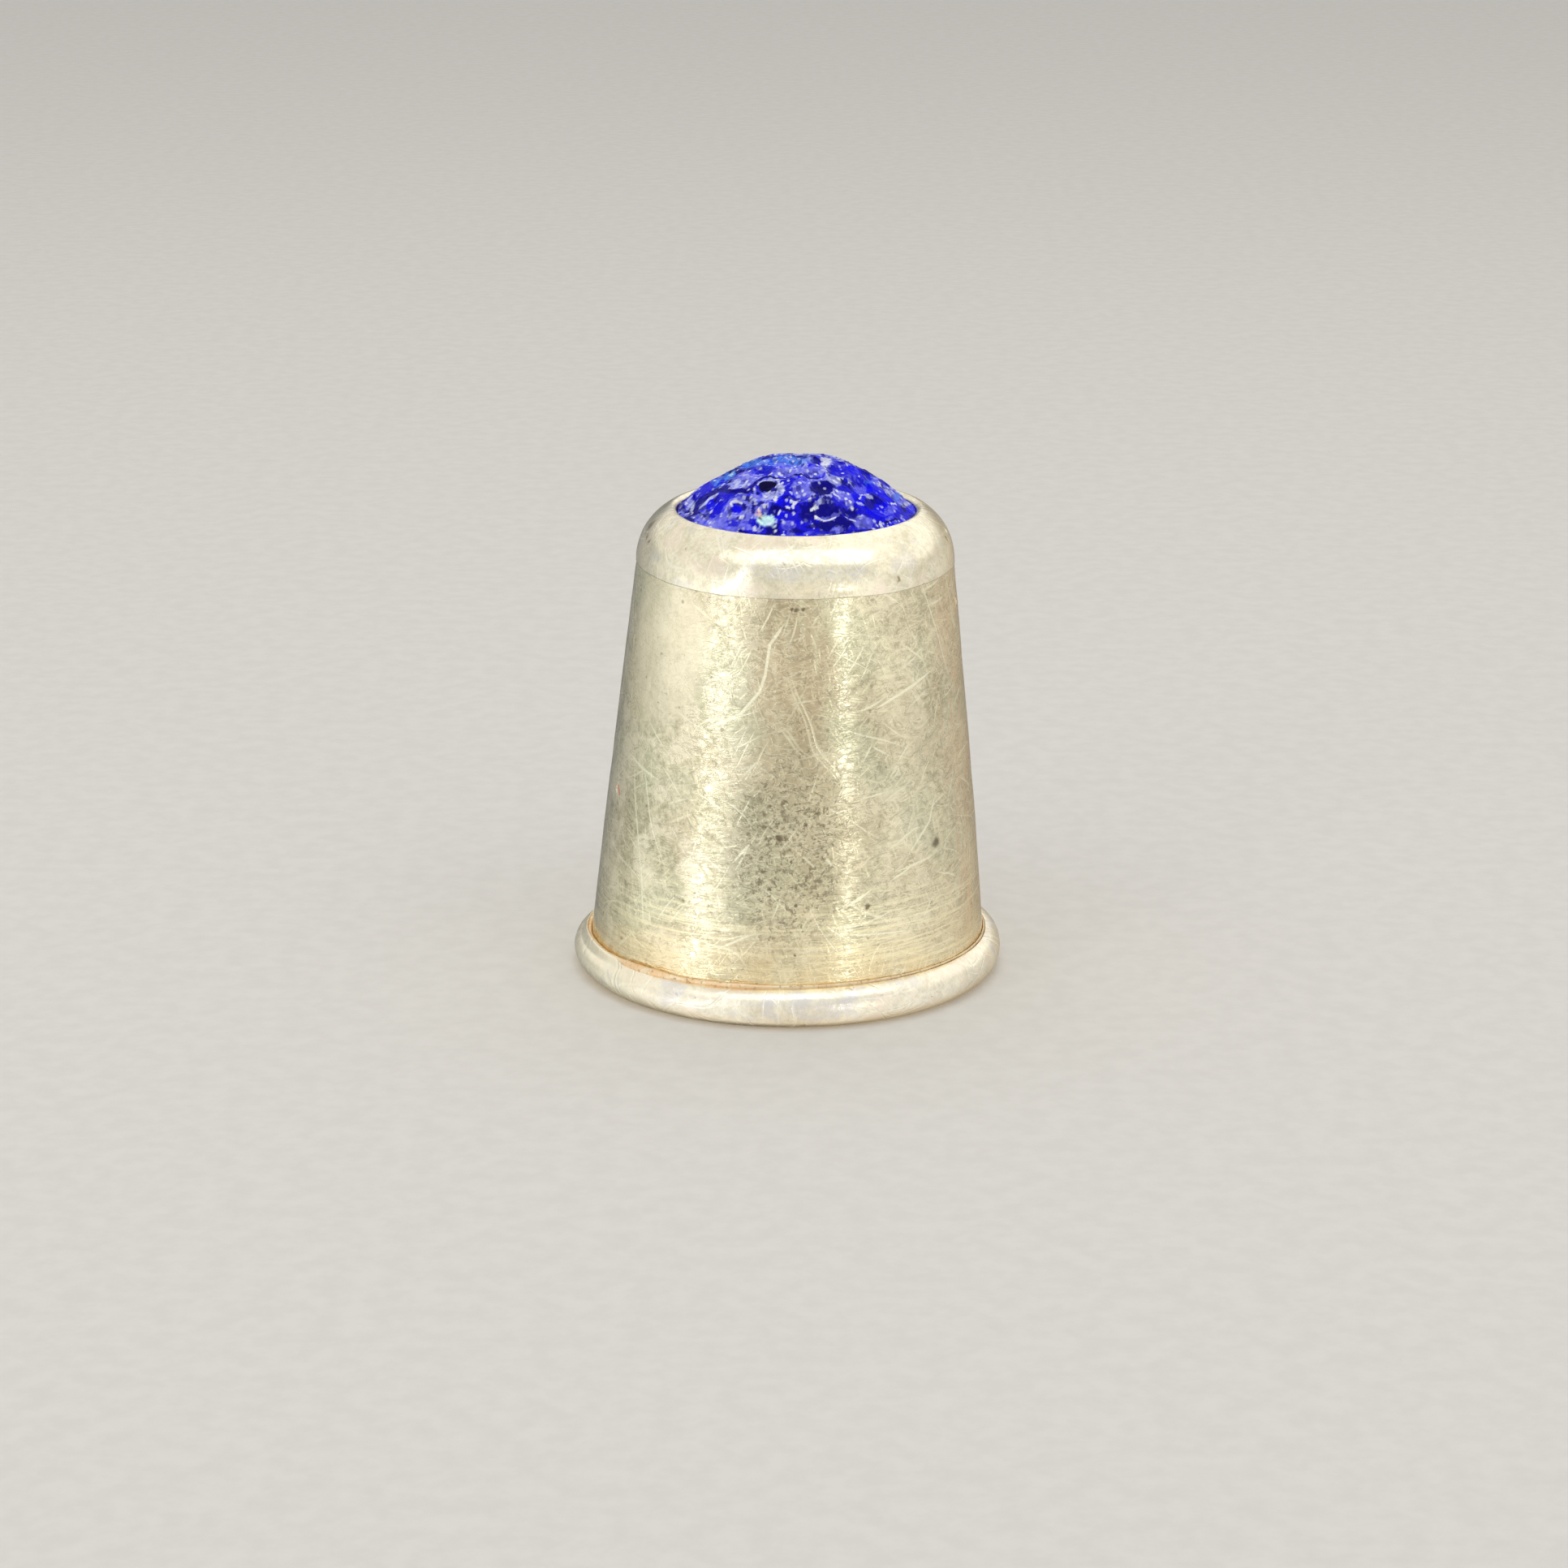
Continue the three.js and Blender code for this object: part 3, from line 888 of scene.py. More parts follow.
def build_seam():
    """The fillet of solder between the ring and the wall: lumpy, widest on the left."""
    turn = turns_row(640)
    base_z = 0.5 + (RIM_TOP - 0.5) * rim_swell(turn) + 0.010
    size = 1.0 + ring_relief(turn, turn * 0, [(0.28, 40, 1.0, 41), (0.12, 130, 1.0, 42)])
    size = size * (0.85 + 0.85 * np.exp(-(turns_from(turn, 0.61) / 0.12) ** 2)
                   - 0.2 * np.exp(-(turns_from(turn, 0.97) / 0.2) ** 2))
    size = np.clip(size, 0.5, 2.3)
    angle = np.linspace(0, TAU, 20, endpoint=False)[:, None]
    half_z, half_r = 0.085 * size, 0.075 * size
    wall = cone_radius(base_z + half_z * 0.6) + 0.014
    z = base_z + half_z * (0.5 + np.sin(angle))
    radius = np.maximum(wall + half_r * (1 + np.cos(angle)), cone_radius(z) + 0.012)
    return turned("rim_solder_seam_worn", radius, z, turn)


# ---------------------------------------------------------------- collar
# The visible outside above the lower edge: inset from the collar's radius, height
COLLAR_OUTSIDE = [
    (-0.004, 17.94), (0.006, 18.18), (0.04, 18.43), (0.10, 18.70), (0.195, 18.97),
    (0.325, 19.23), (0.487, 19.47), (0.681, 19.70), (0.901, 19.90), (1.13, 20.07), (1.33, 20.18),
    (1.48, COLLAR_TOP), (1.62, COLLAR_TOP - 0.05), (1.69, COLLAR_TOP - 0.17)]


def build_collar():
    columns = 600
    turn = turns_row(columns)
    outline = [[cone_radius(17.9) + 0.026, 17.895]]
    outline += [[COLLAR_R - inset, z] for inset, z in COLLAR_OUTSIDE]
    outer = resample(soften(outline, 3), 84)
    spigot = TOP_R - WALL_THICK - 0.035   # fits inside the wall
    seat = 5.43                           # holds the glass
    under = resample([[spigot - 0.35, 17.25], [spigot - 0.3, 17.2], [spigot - 0.05, 17.2],
                      [spigot, 17.25], [spigot, 18.035], [TOP_R + 0.012, 18.035],
                      [cone_radius(17.9) + 0.012, 17.90]], 24)
    inside = resample([[5.07, 19.93], [seat, 19.80], [seat, 18.36], [4.75, 18.35], [4.75, 18.0],
                       [spigot - 0.35, 17.6], [spigot - 0.35, 17.3]], 34)
    profile = np.concatenate([under, outer, inside])
    radius, z = sweep(profile, columns)
    row = np.arange(len(profile))[:, None]
    shown = (row >= len(under)) & (row < len(under) + len(outer))
    # the lower edge wanders
    edge = ring_relief(turn, turn * 0, [(0.055, 13, 1.0, 51), (0.02, 45, 1.0, 52)])
    near_edge = np.exp(-((z - 18.03) / 0.35) ** 2)
    z = z + np.where(shown | (row == len(under) - 1), edge * near_edge, 0)
    skin = ring_relief(turn, z, [(0.012, 12, 1.6, 53), (0.0055, 44, 0.6, 54),
                                 (0.0022, 150, 0.25, 55)])
    skin *= ease(z, 17.9, 18.3)
    skin += 0.05 * bell(turn, z, 6.4, 0.985, 19.3, 0.1, 0.12)  # a burr
    skin = carve_dings(skin, turn, z, 6.2, np.random.default_rng(56), count=26,
                       heights=(18.2, 20.0), widths=(0.12, 0.5), tallness=(0.1, 0.35),
                       depths=(0.003, 0.012))
    # move the shown rows along their normals
    normal_r = np.gradient(profile[:, 1])[:, None]
    normal_z = -np.gradient(profile[:, 0])[:, None]
    size = np.hypot(normal_r, normal_z) + 1e-9
    radius = radius + np.where(shown, skin * normal_r / size, 0)
    z = z + np.where(shown, skin * normal_z / size, 0)
    # the lip is pressed unevenly on to the glass
    lip = ease(profile[:, :1], 5.5, 5.1) * shown
    radius = radius + lip * 0.012 * ring_noise(turn, turn * 0, knots=17, spacing=1.0, seed=57)
    clear = np.maximum(radius, cone_radius(np.minimum(z, WALL_TOP)) + 0.02)
    radius = np.where(shown & (z < WALL_TOP), clear, radius)
    return turned("bezel_collar_worn", radius, z, turn)


# ---------------------------------------------------------------- shape of the glass
# Dimples placed one by one: plan radius, angle in degrees, size
FRONT_DIMPLES = [
    (3.15, -115.2, 0.56), (3.97, -126.7, 0.52), (4.20, -149.8, 0.50), (4.50, -171.0, 0.45),
    (2.85, -69.0, 0.50), (4.15, -106.5, 0.50), (3.97, -72.0, 0.52), (4.10, -35.0, 0.60),
    (2.92, -144.0, 0.50), (3.24, -88.0, 0.45)]
# Rings of dimples that fill the rest: plan radius, count, start as a share of the pitch
DIMPLE_RINGS = [(0.0, 1, 0.0), (1.05, 5, 0.0), (2.05, 10, 0.5), (3.05, 12, 0.0), (4.15, 16, 0.5)]


def plan_point(radius, degrees):
    return radius * math.cos(math.radians(degrees)), radius * math.sin(math.radians(degrees))


def dimples():
    """Plan radius, angle in degrees and size of each dimple of the cap."""
    rng = np.random.default_rng(61)
    rows = list(FRONT_DIMPLES)
    for ring, count, start in DIMPLE_RINGS:
        for i in range(count):
            radius = ring + rng.normal(0, 0.05) * (ring > 0)
            angle = -90 + (i + start) / count * 360 + rng.normal(0, 6.0) / max(ring, 1)
            size = 0.5 * rng.uniform(0.86, 1.1)
            place = plan_point(radius, angle)
            gap = min(math.dist(place, plan_point(*front[:2])) for front in FRONT_DIMPLES)
            if gap > 0.78:
                rows.append((radius, angle, size))
    return rows


def dimple_field(x, y):
    """For every point, the distance to its nearest dimple in dimple radii, and how far it lies
    down the slope inside that dimple, -1..1."""
    best, down = np.full(x.shape, 9.0), np.zeros(x.shape)
    for ring, degrees, size in dimples():
        angle = math.radians(degrees)
        slope = 1 + 0.045 * ring * ring / 4  # from above, a dimple on the slope is foreshortened
        dx, dy = x - ring * math.cos(angle), y - ring * math.sin(angle)
        radial = (dx * math.cos(angle) + dy * math.sin(angle)) * slope
        across = -dx * math.sin(angle) + dy * math.cos(angle)
        distance = np.hypot(radial, across) / size
        down = np.where(distance < best, radial / size, down)
        best = np.minimum(best, distance)
    return best, down


def dome_height(radius):
    drop = GLASS_TOP - GLASS_EDGE_Z
    return GLASS_TOP - drop * (np.clip(radius, 0, None) / GLASS_EDGE_R) ** 2.15


def scatter(rng, count):
    """Random points spread evenly over the plan of the dome."""
    radius, angle = 5.15 * np.sqrt(rng.random(count)), rng.random(count) * TAU
    return radius * np.cos(angle), radius * np.sin(angle)


def nearest(x, y, seed_x, seed_y):
    """Index of the nearest seed for every point, by a coarse grid of buckets."""
    cell, side = 0.25, 48

    def bucket(place):
        return np.clip(((place + 6) / cell).astype(int), 0, side - 1)

    keys = bucket(seed_x) * side + bucket(seed_y)
    order = np.argsort(keys, kind="stable")
    keys = keys[order]
    starts = np.searchsorted(keys, np.arange(side * side))
    ends = np.searchsorted(keys, np.arange(side * side), side="right")
    point_x, point_y = x.ravel(), y.ravel()
    column, row = bucket(point_x), bucket(point_y)
    best = np.full(point_x.shape, 1e9)
    owner = np.zeros(point_x.shape, int)
    most = int((ends - starts).max())
    for i in (-2, -1, 0, 1, 2):
        for j in (-2, -1, 0, 1, 2):
            key = np.clip(column + i, 0, side - 1) * side + np.clip(row + j, 0, side - 1)
            start, end = starts[key], ends[key]
            for k in range(most):
                seed = order[np.minimum(start + k, len(order) - 1)]
                square = (point_x - seed_x[seed]) ** 2 + (point_y - seed_y[seed]) ** 2
                square = np.where(start + k < end, square, 1e9)
                closer = square < best
                best[closer], owner[closer] = square[closer], seed[closer]
    return owner.reshape(x.shape)


def glass_relief(x, y):
    """Dimples, ridges and the chipped skin of the dome, as a height."""
    rng = np.random.default_rng(64)
    best, _ = dimple_field(x, y)
    cup = np.where(best < 1, -0.14 * (1 - best ** 2), 0)
    crest = 0.03 * np.exp(-((best - 1.06) / 0.15) ** 2)
    count = 900  # chips: each cell of a random pattern is a small tilted facet
    chip_x, chip_y = scatter(rng, count)
    tilt = rng.normal(0, 0.045, (count, 2))
    lift = rng.normal(0, 0.007, count)
    owner = nearest(x, y, chip_x, chip_y)
    facet = lift[owner] + tilt[owner, 0] * (x - chip_x[owner]) + tilt[owner, 1] * (y - chip_y[owner])
    swell = 0.085 * flat_noise(x, y, 1.1, 62) + 0.03 * flat_noise(x, y, 0.45, 63)
    return cup + crest + facet + swell - 0.06


# ---------------------------------------------------------------- paint of the glass
# cobalt is the glass's own blue; pure paints the foil's blue glints, navy and black paint shade, and
# the paler tints paint reflections and glints
TINTS = {name: np.array(rgb) for name, rgb in {
    "black": (0.001, 0.0, 0.045), "navy": (0.002, 0.0005, 0.25), "cobalt": (0.012, 0.009, 0.74),
    "pure": (0.002, 0.001, 1.0), "milky": (0.215, 0.225, 1.0), "pale": (0.54, 0.59, 1.0),
    "white": (0.80, 0.83, 1.0), "sky": (0.09, 0.27, 1.0), "ice": (0.58, 0.88, 0.98),
    "rose": (0.98, 0.62, 0.54)}.items()}
# Patches of the front of the dome, of the glass's own blue and of painted reflections, glints and
# shade: plan x and y, half sizes, direction of the first half size in degrees, tint, strength
GLASS_TINT_AND_REFLECTION_PATCHES = [
    (3.60, -1.90, 1.15, 0.80, 60, "pure", 0.6), (-0.69, -0.35, 1.28, 0.76, -1, "sky", 0.75),
    (-1.97, 0.44, 0.85, 0.48, 89, "sky", 0.8), (-2.94, -0.15, 0.76, 0.35, -76, "sky", 1.0),
    (-2.80, -0.10, 0.40, 0.13, -80, "ice", 0.7), (-3.41, -0.17, 0.88, 0.24, -83, "sky", 0.9),
    (-2.29, -0.25, 0.35, 0.29, 59, "navy", 0.8), (-2.03, -1.42, 0.94, 0.58, -55, "milky", 0.9),
    (-2.45, -1.64, 0.57, 0.31, -50, "pale", 0.8), (-0.34, -1.30, 0.78, 0.60, -18, "milky", 0.75),
    (-1.45, -0.98, 0.60, 0.28, -45, "cobalt", 0.7), (0.85, -1.33, 0.58, 0.41, 57, "milky", 0.7),
    (1.19, -0.26, 0.58, 0.18, 84, "white", 0.9), (1.96, -0.68, 1.01, 0.57, 83, "cobalt", 0.9),
    (2.41, -0.40, 0.85, 0.41, -87, "pure", 0.8), (1.48, -2.06, 0.47, 0.30, 62, "pale", 0.75),
    (2.83, -1.04, 0.83, 0.45, 83, "cobalt", 0.8), (3.10, -0.90, 0.43, 0.21, 61, "sky", 0.6),
    (-3.89, -0.52, 0.83, 0.41, -80, "cobalt", 0.9), (-3.34, -1.39, 0.55, 0.31, -36, "navy", 0.95),
    (-2.18, -2.47, 0.70, 0.14, -32, "navy", 1), (-1.08, -3.09, 0.41, 0.26, -25, "pale", 0.8),
    (-1.26, -2.47, 0.37, 0.22, -21, "black", 1), (-0.67, -2.91, 0.32, 0.15, -86, "pale", 0.8),
    (-0.32, -2.50, 0.36, 0.33, -62, "cobalt", 0.8), (-0.24, -3.41, 0.37, 0.10, -3, "navy", 0.8),
    (0.26, -2.75, 0.57, 0.49, 81, "milky", 0.85), (1.02, -2.71, 0.55, 0.43, 30, "navy", 1),
    (0.98, -2.70, 0.31, 0.22, 31, "black", 0.5), (1.29, -2.34, 0.33, 0.16, -11, "navy", 1),
    (1.95, -2.82, 0.45, 0.40, 1, "milky", 0.85), (2.64, -1.77, 0.51, 0.33, 56, "milky", 0.6),
    (3.58, -2.13, 1.17, 0.47, 63, "pure", 1), (3.33, -1.35, 0.74, 0.43, 74, "pure", 0.95),
    (3.05, -2.25, 0.66, 0.19, 76, "navy", 0.8), (3.41, -1.75, 0.38, 0.16, 39, "navy", 0.7),
    (3.95, -1.97, 0.60, 0.18, 66, "milky", 0.75), (4.40, -0.09, 0.97, 0.16, 78, "milky", 0.8),
    (4.69, 0.22, 0.81, 0.10, 81, "pale", 0.8), (4.27, 0.00, 0.72, 0.11, 78, "sky", 0.8),
    (4.84, -0.29, 1.10, 0.18, 82, "pure", 0.8), (4.37, -1.68, 0.70, 0.16, 64, "cobalt", 0.9),
    (1.28, -3.62, 0.71, 0.19, 24, "navy", 0.95), (1.80, -3.25, 0.35, 0.15, 28, "cobalt", 0.9),
    (2.21, -3.40, 0.46, 0.17, 30, "navy", 0.8), (0.44, -3.98, 0.29, 0.22, 11, "navy", 0.9),
    (1.20, -4.31, 0.78, 0.09, 15, "navy", 0.95), (1.96, -4.04, 0.44, 0.17, 24, "navy", 0.9),
    (1.71, -4.41, 0.35, 0.13, 20, "milky", 0.8), (2.80, -3.64, 0.52, 0.24, 40, "milky", 0.85),
    (2.38, -4.16, 0.32, 0.09, 27, "cobalt", 0.9), (-0.31, -4.44, 0.34, 0.17, -4, "milky", 0.7),
    (-0.03, -4.65, 0.40, 0.09, 0, "navy", 0.9), (0.54, -4.72, 0.25, 0.09, 6, "milky", 0.6),
    (1.04, -4.65, 0.49, 0.08, 11, "cobalt", 0.8), (-1.83, -3.55, 0.36, 0.11, -86, "navy", 0.8),
    (-1.27, -4.10, 0.43, 0.31, -31, "ice", 1), (-1.53, -3.78, 0.17, 0.10, -80, "rose", 0.9),
    (-1.65, -3.91, 0.10, 0.07, -51, "rose", 0.6), (-1.41, -3.69, 0.25, 0.10, -19, "milky", 0.8),
    (-1.52, -4.00, 0.08, 0.06, -50, "black", 0.6), (-1.09, -4.32, 0.14, 0.08, -17, "white", 0.7),
    (-2.41, -3.57, 0.34, 0.17, -38, "milky", 0.75), (-2.49, -3.19, 0.31, 0.17, -71, "pure", 1),
    (-2.18, -3.20, 0.21, 0.08, -83, "navy", 0.9), (-2.78, -3.18, 0.30, 0.10, -84, "navy", 0.85),
    (-2.74, -3.76, 0.37, 0.13, -33, "cobalt", 0.9), (-3.32, -3.34, 0.67, 0.11, -44, "milky", 0.8),
    (-2.06, -4.23, 0.45, 0.10, -22, "milky", 0.8), (-3.53, -2.11, 0.58, 0.20, -72, "pure", 0.95),
    (-3.18, -1.97, 0.46, 0.17, -75, "cobalt", 0.9), (-4.45, -0.72, 0.88, 0.16, -80, "pale", 0.85),
    (-4.75, -0.70, 0.49, 0.09, -79, "navy", 0.8), (-4.01, -2.53, 0.74, 0.09, -58, "milky", 0.8),
]
# Lines of the front of the dome, painted shade in the dark tints and painted highlights in the pale
# ones: plan points along the line, half width, tint
GLASS_SHADE_AND_GLINT_LINES = [
    ([(-4.31, -1.82), (-4.18, -1.22), (-3.89, -1.09), (-3.21, -1.40)], 0.087, "navy"),
    ([(-3.21, -1.40), (-2.78, -2.11), (-2.18, -2.47), (-1.89, -2.50), (-1.69, -2.08),
      (-1.35, -1.88), (-0.76, -1.91), (-0.25, -2.03), (0.25, -1.95), (0.83, -1.93)],
     0.082, "navy"),
    ([(-1.64, -2.38), (-1.43, -2.12), (-0.88, -2.23), (-0.74, -2.52)], 0.038, "pale"),
    ([(-1.76, -2.47), (-1.76, -2.87), (-1.41, -3.35), (-0.89, -3.53)], 0.049, "milky"),
    ([(-2.80, -3.04), (-2.85, -2.70), (-2.75, -2.61), (-2.43, -2.69), (-2.09, -3.00),
      (-1.91, -3.38), (-1.94, -3.83), (-2.13, -3.98)], 0.038, "milky"),
    ([(-2.72, -2.77), (-2.43, -2.81), (-2.28, -2.92)], 0.038, "white"),
    ([(-4.04, -1.84), (-3.63, -1.62), (-3.33, -1.75)], 0.049, "pale"),
    ([(-4.26, -1.83), (-4.19, -1.37), (-3.96, -1.25)], 0.065, "navy"),
    ([(0.78, -4.12), (1.12, -4.17), (1.58, -3.97)], 0.054, "white"),
    ([(0.58, -3.86), (0.86, -3.62)], 0.044, "white"),
    ([(3.66, -3.06), (4.27, -2.27)], 0.044, "navy"),
    ([(-0.73, -3.81), (-0.23, -3.93)], 0.054, "navy"),
    ([(1.44, -2.83), (1.70, -2.87)], 0.044, "white"),
    ([(2.64, -2.24), (3.15, -1.88)], 0.038, "pale"),
    ([(-0.99, -3.68), (-0.57, -3.83)], 0.038, "navy"),
    ([(3.94, -1.51), (4.16, -1.15)], 0.033, "white"),
]
# Painted glints of the front of the dome: plan x and y
GLASS_GLINTS = [
    (-2.54, -1.48), (-2.32, -1.97), (-2.11, -1.57), (-1.74, -1.48), (-1.40, -1.58),
    (-1.10, -1.62), (-0.76, -1.55), (-0.26, -1.46), (0.21, -1.26), (-0.58, -3.02),
    (-1.29, -3.07), (-0.87, -3.34), (-1.25, -3.31), (-0.73, -3.94), (0.30, -3.13), (0.52, -3.41),
    (-0.24, -3.58), (-0.13, -3.64), (0.09, -2.58), (0.61, -3.84), (0.71, -3.77), (2.21, -2.93),
    (2.04, -2.86), (2.29, -3.10), (1.61, -2.00), (1.54, -1.97), (1.74, -1.75), (1.65, -2.59),
    (-2.32, -3.76), (-3.56, -2.63), (-4.65, -0.40), (3.23, -3.72), (-1.14, -4.29),
    (-0.63, -2.53), (-1.61, -1.81), (2.94, -1.89), (1.19, -0.32),
]
CHIPS = 5200   # the colours change from chip to chip


def blend_tint(colour, tint, amount):
    return colour + (tint - colour) * np.clip(amount, 0, 1)[..., None]


def brightness(colour):
    return (colour * (0.2, 0.7, 0.1)).sum(-1)


def chip_tints_and_reflections(rng, x, y):
    """A colour for each chip: the glass's blue with painted reflections, glints and shade, from slow
    fields, the dimples and luck.
    """
    colour = np.tile(TINTS["cobalt"], (CHIPS, 1))

    def lay(tint, amount):
        nonlocal colour
        colour = blend_tint(colour, TINTS[tint], amount)

    zone = flat_noise(x, y, 1.9, 66)
    body = flat_noise(x, y, 0.95, 67) + 0.35 * flat_noise(x, y, 0.36, 68)
    veil = flat_noise(x, y, 0.80, 69) + 0.5 * flat_noise(x, y, 0.3, 70)
    best, down = dimple_field(x, y)
    inside = ease(best, 1.0, 0.85)
    # slow fields of painted reflection: navy shade where the foil mirrors dark, pure blue and milky
    # where it mirrors light
    lay("navy", ease(body, -0.12, -0.30))
    lay("pure", ease(body, 0.22, 0.40) * 0.85)
    lay("milky", ease(veil + 0.6 * zone, 0.02, 0.34) * rng.uniform(0.55, 1.0, CHIPS))
    # dimples: painted shade up the slope, painted milky reflection down it, with broken pale painted
    # highlights on the edges and painted shade around them
    lay("navy", inside * ease(down, 0.0, -0.35) * 0.9)
    lay("pure", inside * ease(np.abs(down + 0.05), 0.35, 0.1) * ease(body, -0.2, 0.2) * 0.8)
    lay("milky", inside * ease(down, 0.15, 0.6) * rng.uniform(0.5, 1.0, CHIPS))
    broken = ease(veil, -0.30, 0.05)
    lay("pale", ease(np.abs(best - 1.0), 0.13, 0.05) * broken * rng.uniform(0.35, 0.9, CHIPS))
    lay("navy", ease(np.abs(best - 1.26), 0.15, 0.06) * ease(body, 0.25, -0.05) * 0.9)
    # single chips with a painted glint or painted shade
    luck = rng.random(CHIPS)
    dark = ease(brightness(colour), 0.09, 0.03)
    lay("white", (luck < 0.032) * (0.9 - 0.75 * dark))
    lay("pale", ((luck > 0.034) & (luck < 0.09)) * (0.85 - 0.7 * dark))
    lay("navy", ((luck > 0.22) & (luck < 0.26)) * 0.7)
    lay("pure", ((luck > 0.30) & (luck < 0.36)) * 0.7)
    # each chip a little darker or brighter at random, as painted glitter
    return colour * rng.uniform(0.80, 1.18, CHIPS)[:, None]


def line_distance(x, y, points):
    distance = np.full(x.shape, 9.0)
    for (x0, y0), (x1, y1) in zip(points[:-1], points[1:]):
        dx, dy = x1 - x0, y1 - y0
        along = np.clip(((x - x0) * dx + (y - y0) * dy) / (dx * dx + dy * dy), 0, 1)
        distance = np.minimum(distance, np.hypot(x - x0 - along * dx, y - y0 - along * dy))
    return distance


def paint_tints_reflections_and_shade(colour, x, y, chance, wobble):
    """The painted reflections, glints and shade, with patches of the glass's own blue, laid over the
    chips, with edges that follow them only loosely.
    """

    def over(tint, amount):
        nonlocal colour
        colour = blend_tint(colour, TINTS[tint] * (0.82 + 0.34 * chance[..., None]), amount)

    # behind the front, the dimples get painted shade in dark crescents, with broken pale painted
    # highlights on their edges
    ring, slope = dimple_field(x, y)
    behind = ease(y - 0.25 * np.abs(x), -1.2, 0.2)
    facing = ease(np.abs(slope - 0.2), 0.35, 0.1)
    over("navy", behind * ease(ring + wobble, 1.0, 0.75) * ease(slope, 0.15, -0.35) * 0.85)
    over("pure", behind * ease(ring + wobble, 0.85, 0.55) * facing * 0.6)
    over("navy", behind * ease(np.abs(ring + wobble - 1.22), 0.15, 0.05) * 0.7)
    over("pale", behind * ease(np.abs(ring + wobble - 0.98), 0.13, 0.04)
         * ease(slope, -0.1, 0.5) * ease(chance, 0.25, 0.5) * 0.85)
    for centre_x, centre_y, half_x, half_y, degrees, tint, strength in GLASS_TINT_AND_REFLECTION_PATCHES:
        angle = math.radians(degrees)
        dx, dy = x - centre_x, y - centre_y
        distance = np.hypot((dx * math.cos(angle) + dy * math.sin(angle)) / half_x,
                            (-dx * math.sin(angle) + dy * math.cos(angle)) / half_y)
        mask = ease(distance + wobble * min(1.6, 0.35 / half_y), 1.10, 0.88) * strength
        uneven = tint in ("milky", "pale", "sky")
        over(tint, mask * (0.40 + 0.60 * chance if uneven else 1.0))
    for points, half, tint in GLASS_SHADE_AND_GLINT_LINES:
        over(tint, ease(line_distance(x, y, points) / half + wobble, 1.25, 0.80))
    return colour


def paint_glints(rng, colour, x, y):
    """Painted white glints: the listed ones, and random ones of which most show only on pale glass.
    """
    pale_here = ease(brightness(colour), 0.06, 0.16)
    rows = [(*dot, 0.072, 0.95, False) for dot in GLASS_GLINTS]
    for place in zip(*scatter(rng, 420)):
        size, strength = rng.uniform(0.04, 0.075), rng.uniform(0.5, 0.95)
        rows.append((*place, size, strength, rng.random() >= 0.2))
    for centre_x, centre_y, size, strength, on_pale in rows:
        near = np.hypot(x - centre_x, y - centre_y) < 0.2
        distance = np.hypot(x[near] - centre_x, y[near] - centre_y) / size
        amount = ease(distance, 1.15, 0.7) * (strength * pale_here[near] if on_pale else strength)
        colour[near] = blend_tint(colour[near], TINTS["white"], amount)
    return colour


def glass_colour_and_reflections(x, y):
    """Colour of the glass, with painted reflections, glints and shade of the foil behind it, for
    points given in plan.
    """
    rng = np.random.default_rng(65)
    chip_x, chip_y = scatter(rng, CHIPS)
    colours = chip_tints_and_reflections(rng, chip_x, chip_y)
    owner = nearest(x, y, chip_x, chip_y)
    chance = rng.random(CHIPS)[owner]
    wobble = (0.09 * rng.normal(size=CHIPS))[owner] + 0.10 * flat_noise(x, y, 0.17, 72)
    colour = paint_tints_reflections_and_shade(colours[owner], x, y, chance, wobble)
    return np.clip(paint_glints(rng, colour, x, y), 0, 1)


def build_glass():
    columns = 560
    turn = turns_row(columns)
    base_r = GLASS_R - 0.06
    girdle = resample([[0.4, 19.21], [base_r - 0.1, 19.21], [base_r, 19.29], [base_r, 19.70],
                       [5.09, 19.84], [5.035, 20.00]], 34)
    dome_r = np.concatenate([np.linspace(5.03, 0.9, 118), np.linspace(0.86, 0.06, 22)])
    dome = np.stack([dome_r, dome_height(dome_r)], -1)
    radius, z = sweep(np.concatenate([girdle, dome]), columns)
    across, along = np.cos(turn * TAU), np.sin(turn * TAU)
    relief = glass_relief(radius * across, radius * along)
    on_dome = np.arange(len(radius))[:, None] >= len(girdle)
    stations = np.linspace(0, 5, 200)
    slope = np.interp(radius, stations, np.gradient(dome_height(stations), 5 / 199))
    length = np.hypot(1, slope)
    move = np.where(on_dome, relief * ease(radius, 5.03, 4.78), 0)
    radius = np.maximum(radius + move * (-slope) / length * 0.8, 0.03)
    z = np.minimum(z + move / length, GLASS_TOP + 0.06)
    # painted where the points have ended, so that chips keep their size on the slopes
    return turned("glass_cap_dimpled", radius, z, turn, closed=False,
                  paint=glass_colour_and_reflections(radius * across, radius * along))


# ---------------------------------------------------------------- discs inside the collar
def build_disc(name, radius, low, high, top_relief, under_relief, rows, columns, edge=0.03):
    """A disc as a turned piece, with relief on both faces."""
    turn = turns_row(columns)
    face = np.linspace(0.05, radius - edge, rows)
    profile_r = np.concatenate([face, [radius, radius], face[::-1]])
    profile_z = np.repeat([low, low + edge, high - edge, high], [rows, 1, 1, rows])
    grid_r, z = sweep(np.stack([profile_r, profile_z], -1), columns)
    x, y = grid_r * np.cos(turn * TAU), grid_r * np.sin(turn * TAU)
    row = np.arange(len(profile_r))[:, None]
    z = z + np.where(row < rows, under_relief(x, y), 0)
    z = z + np.where(row > rows + 1, top_relief(x, y), 0)
    return turned(name, grid_r, z, turn, closed=False)


def dish(x, y):
    return 0.05 * (1 - (x * x + y * y) / 28.7) + 0.006 * flat_noise(x, y, 0.8, 71)


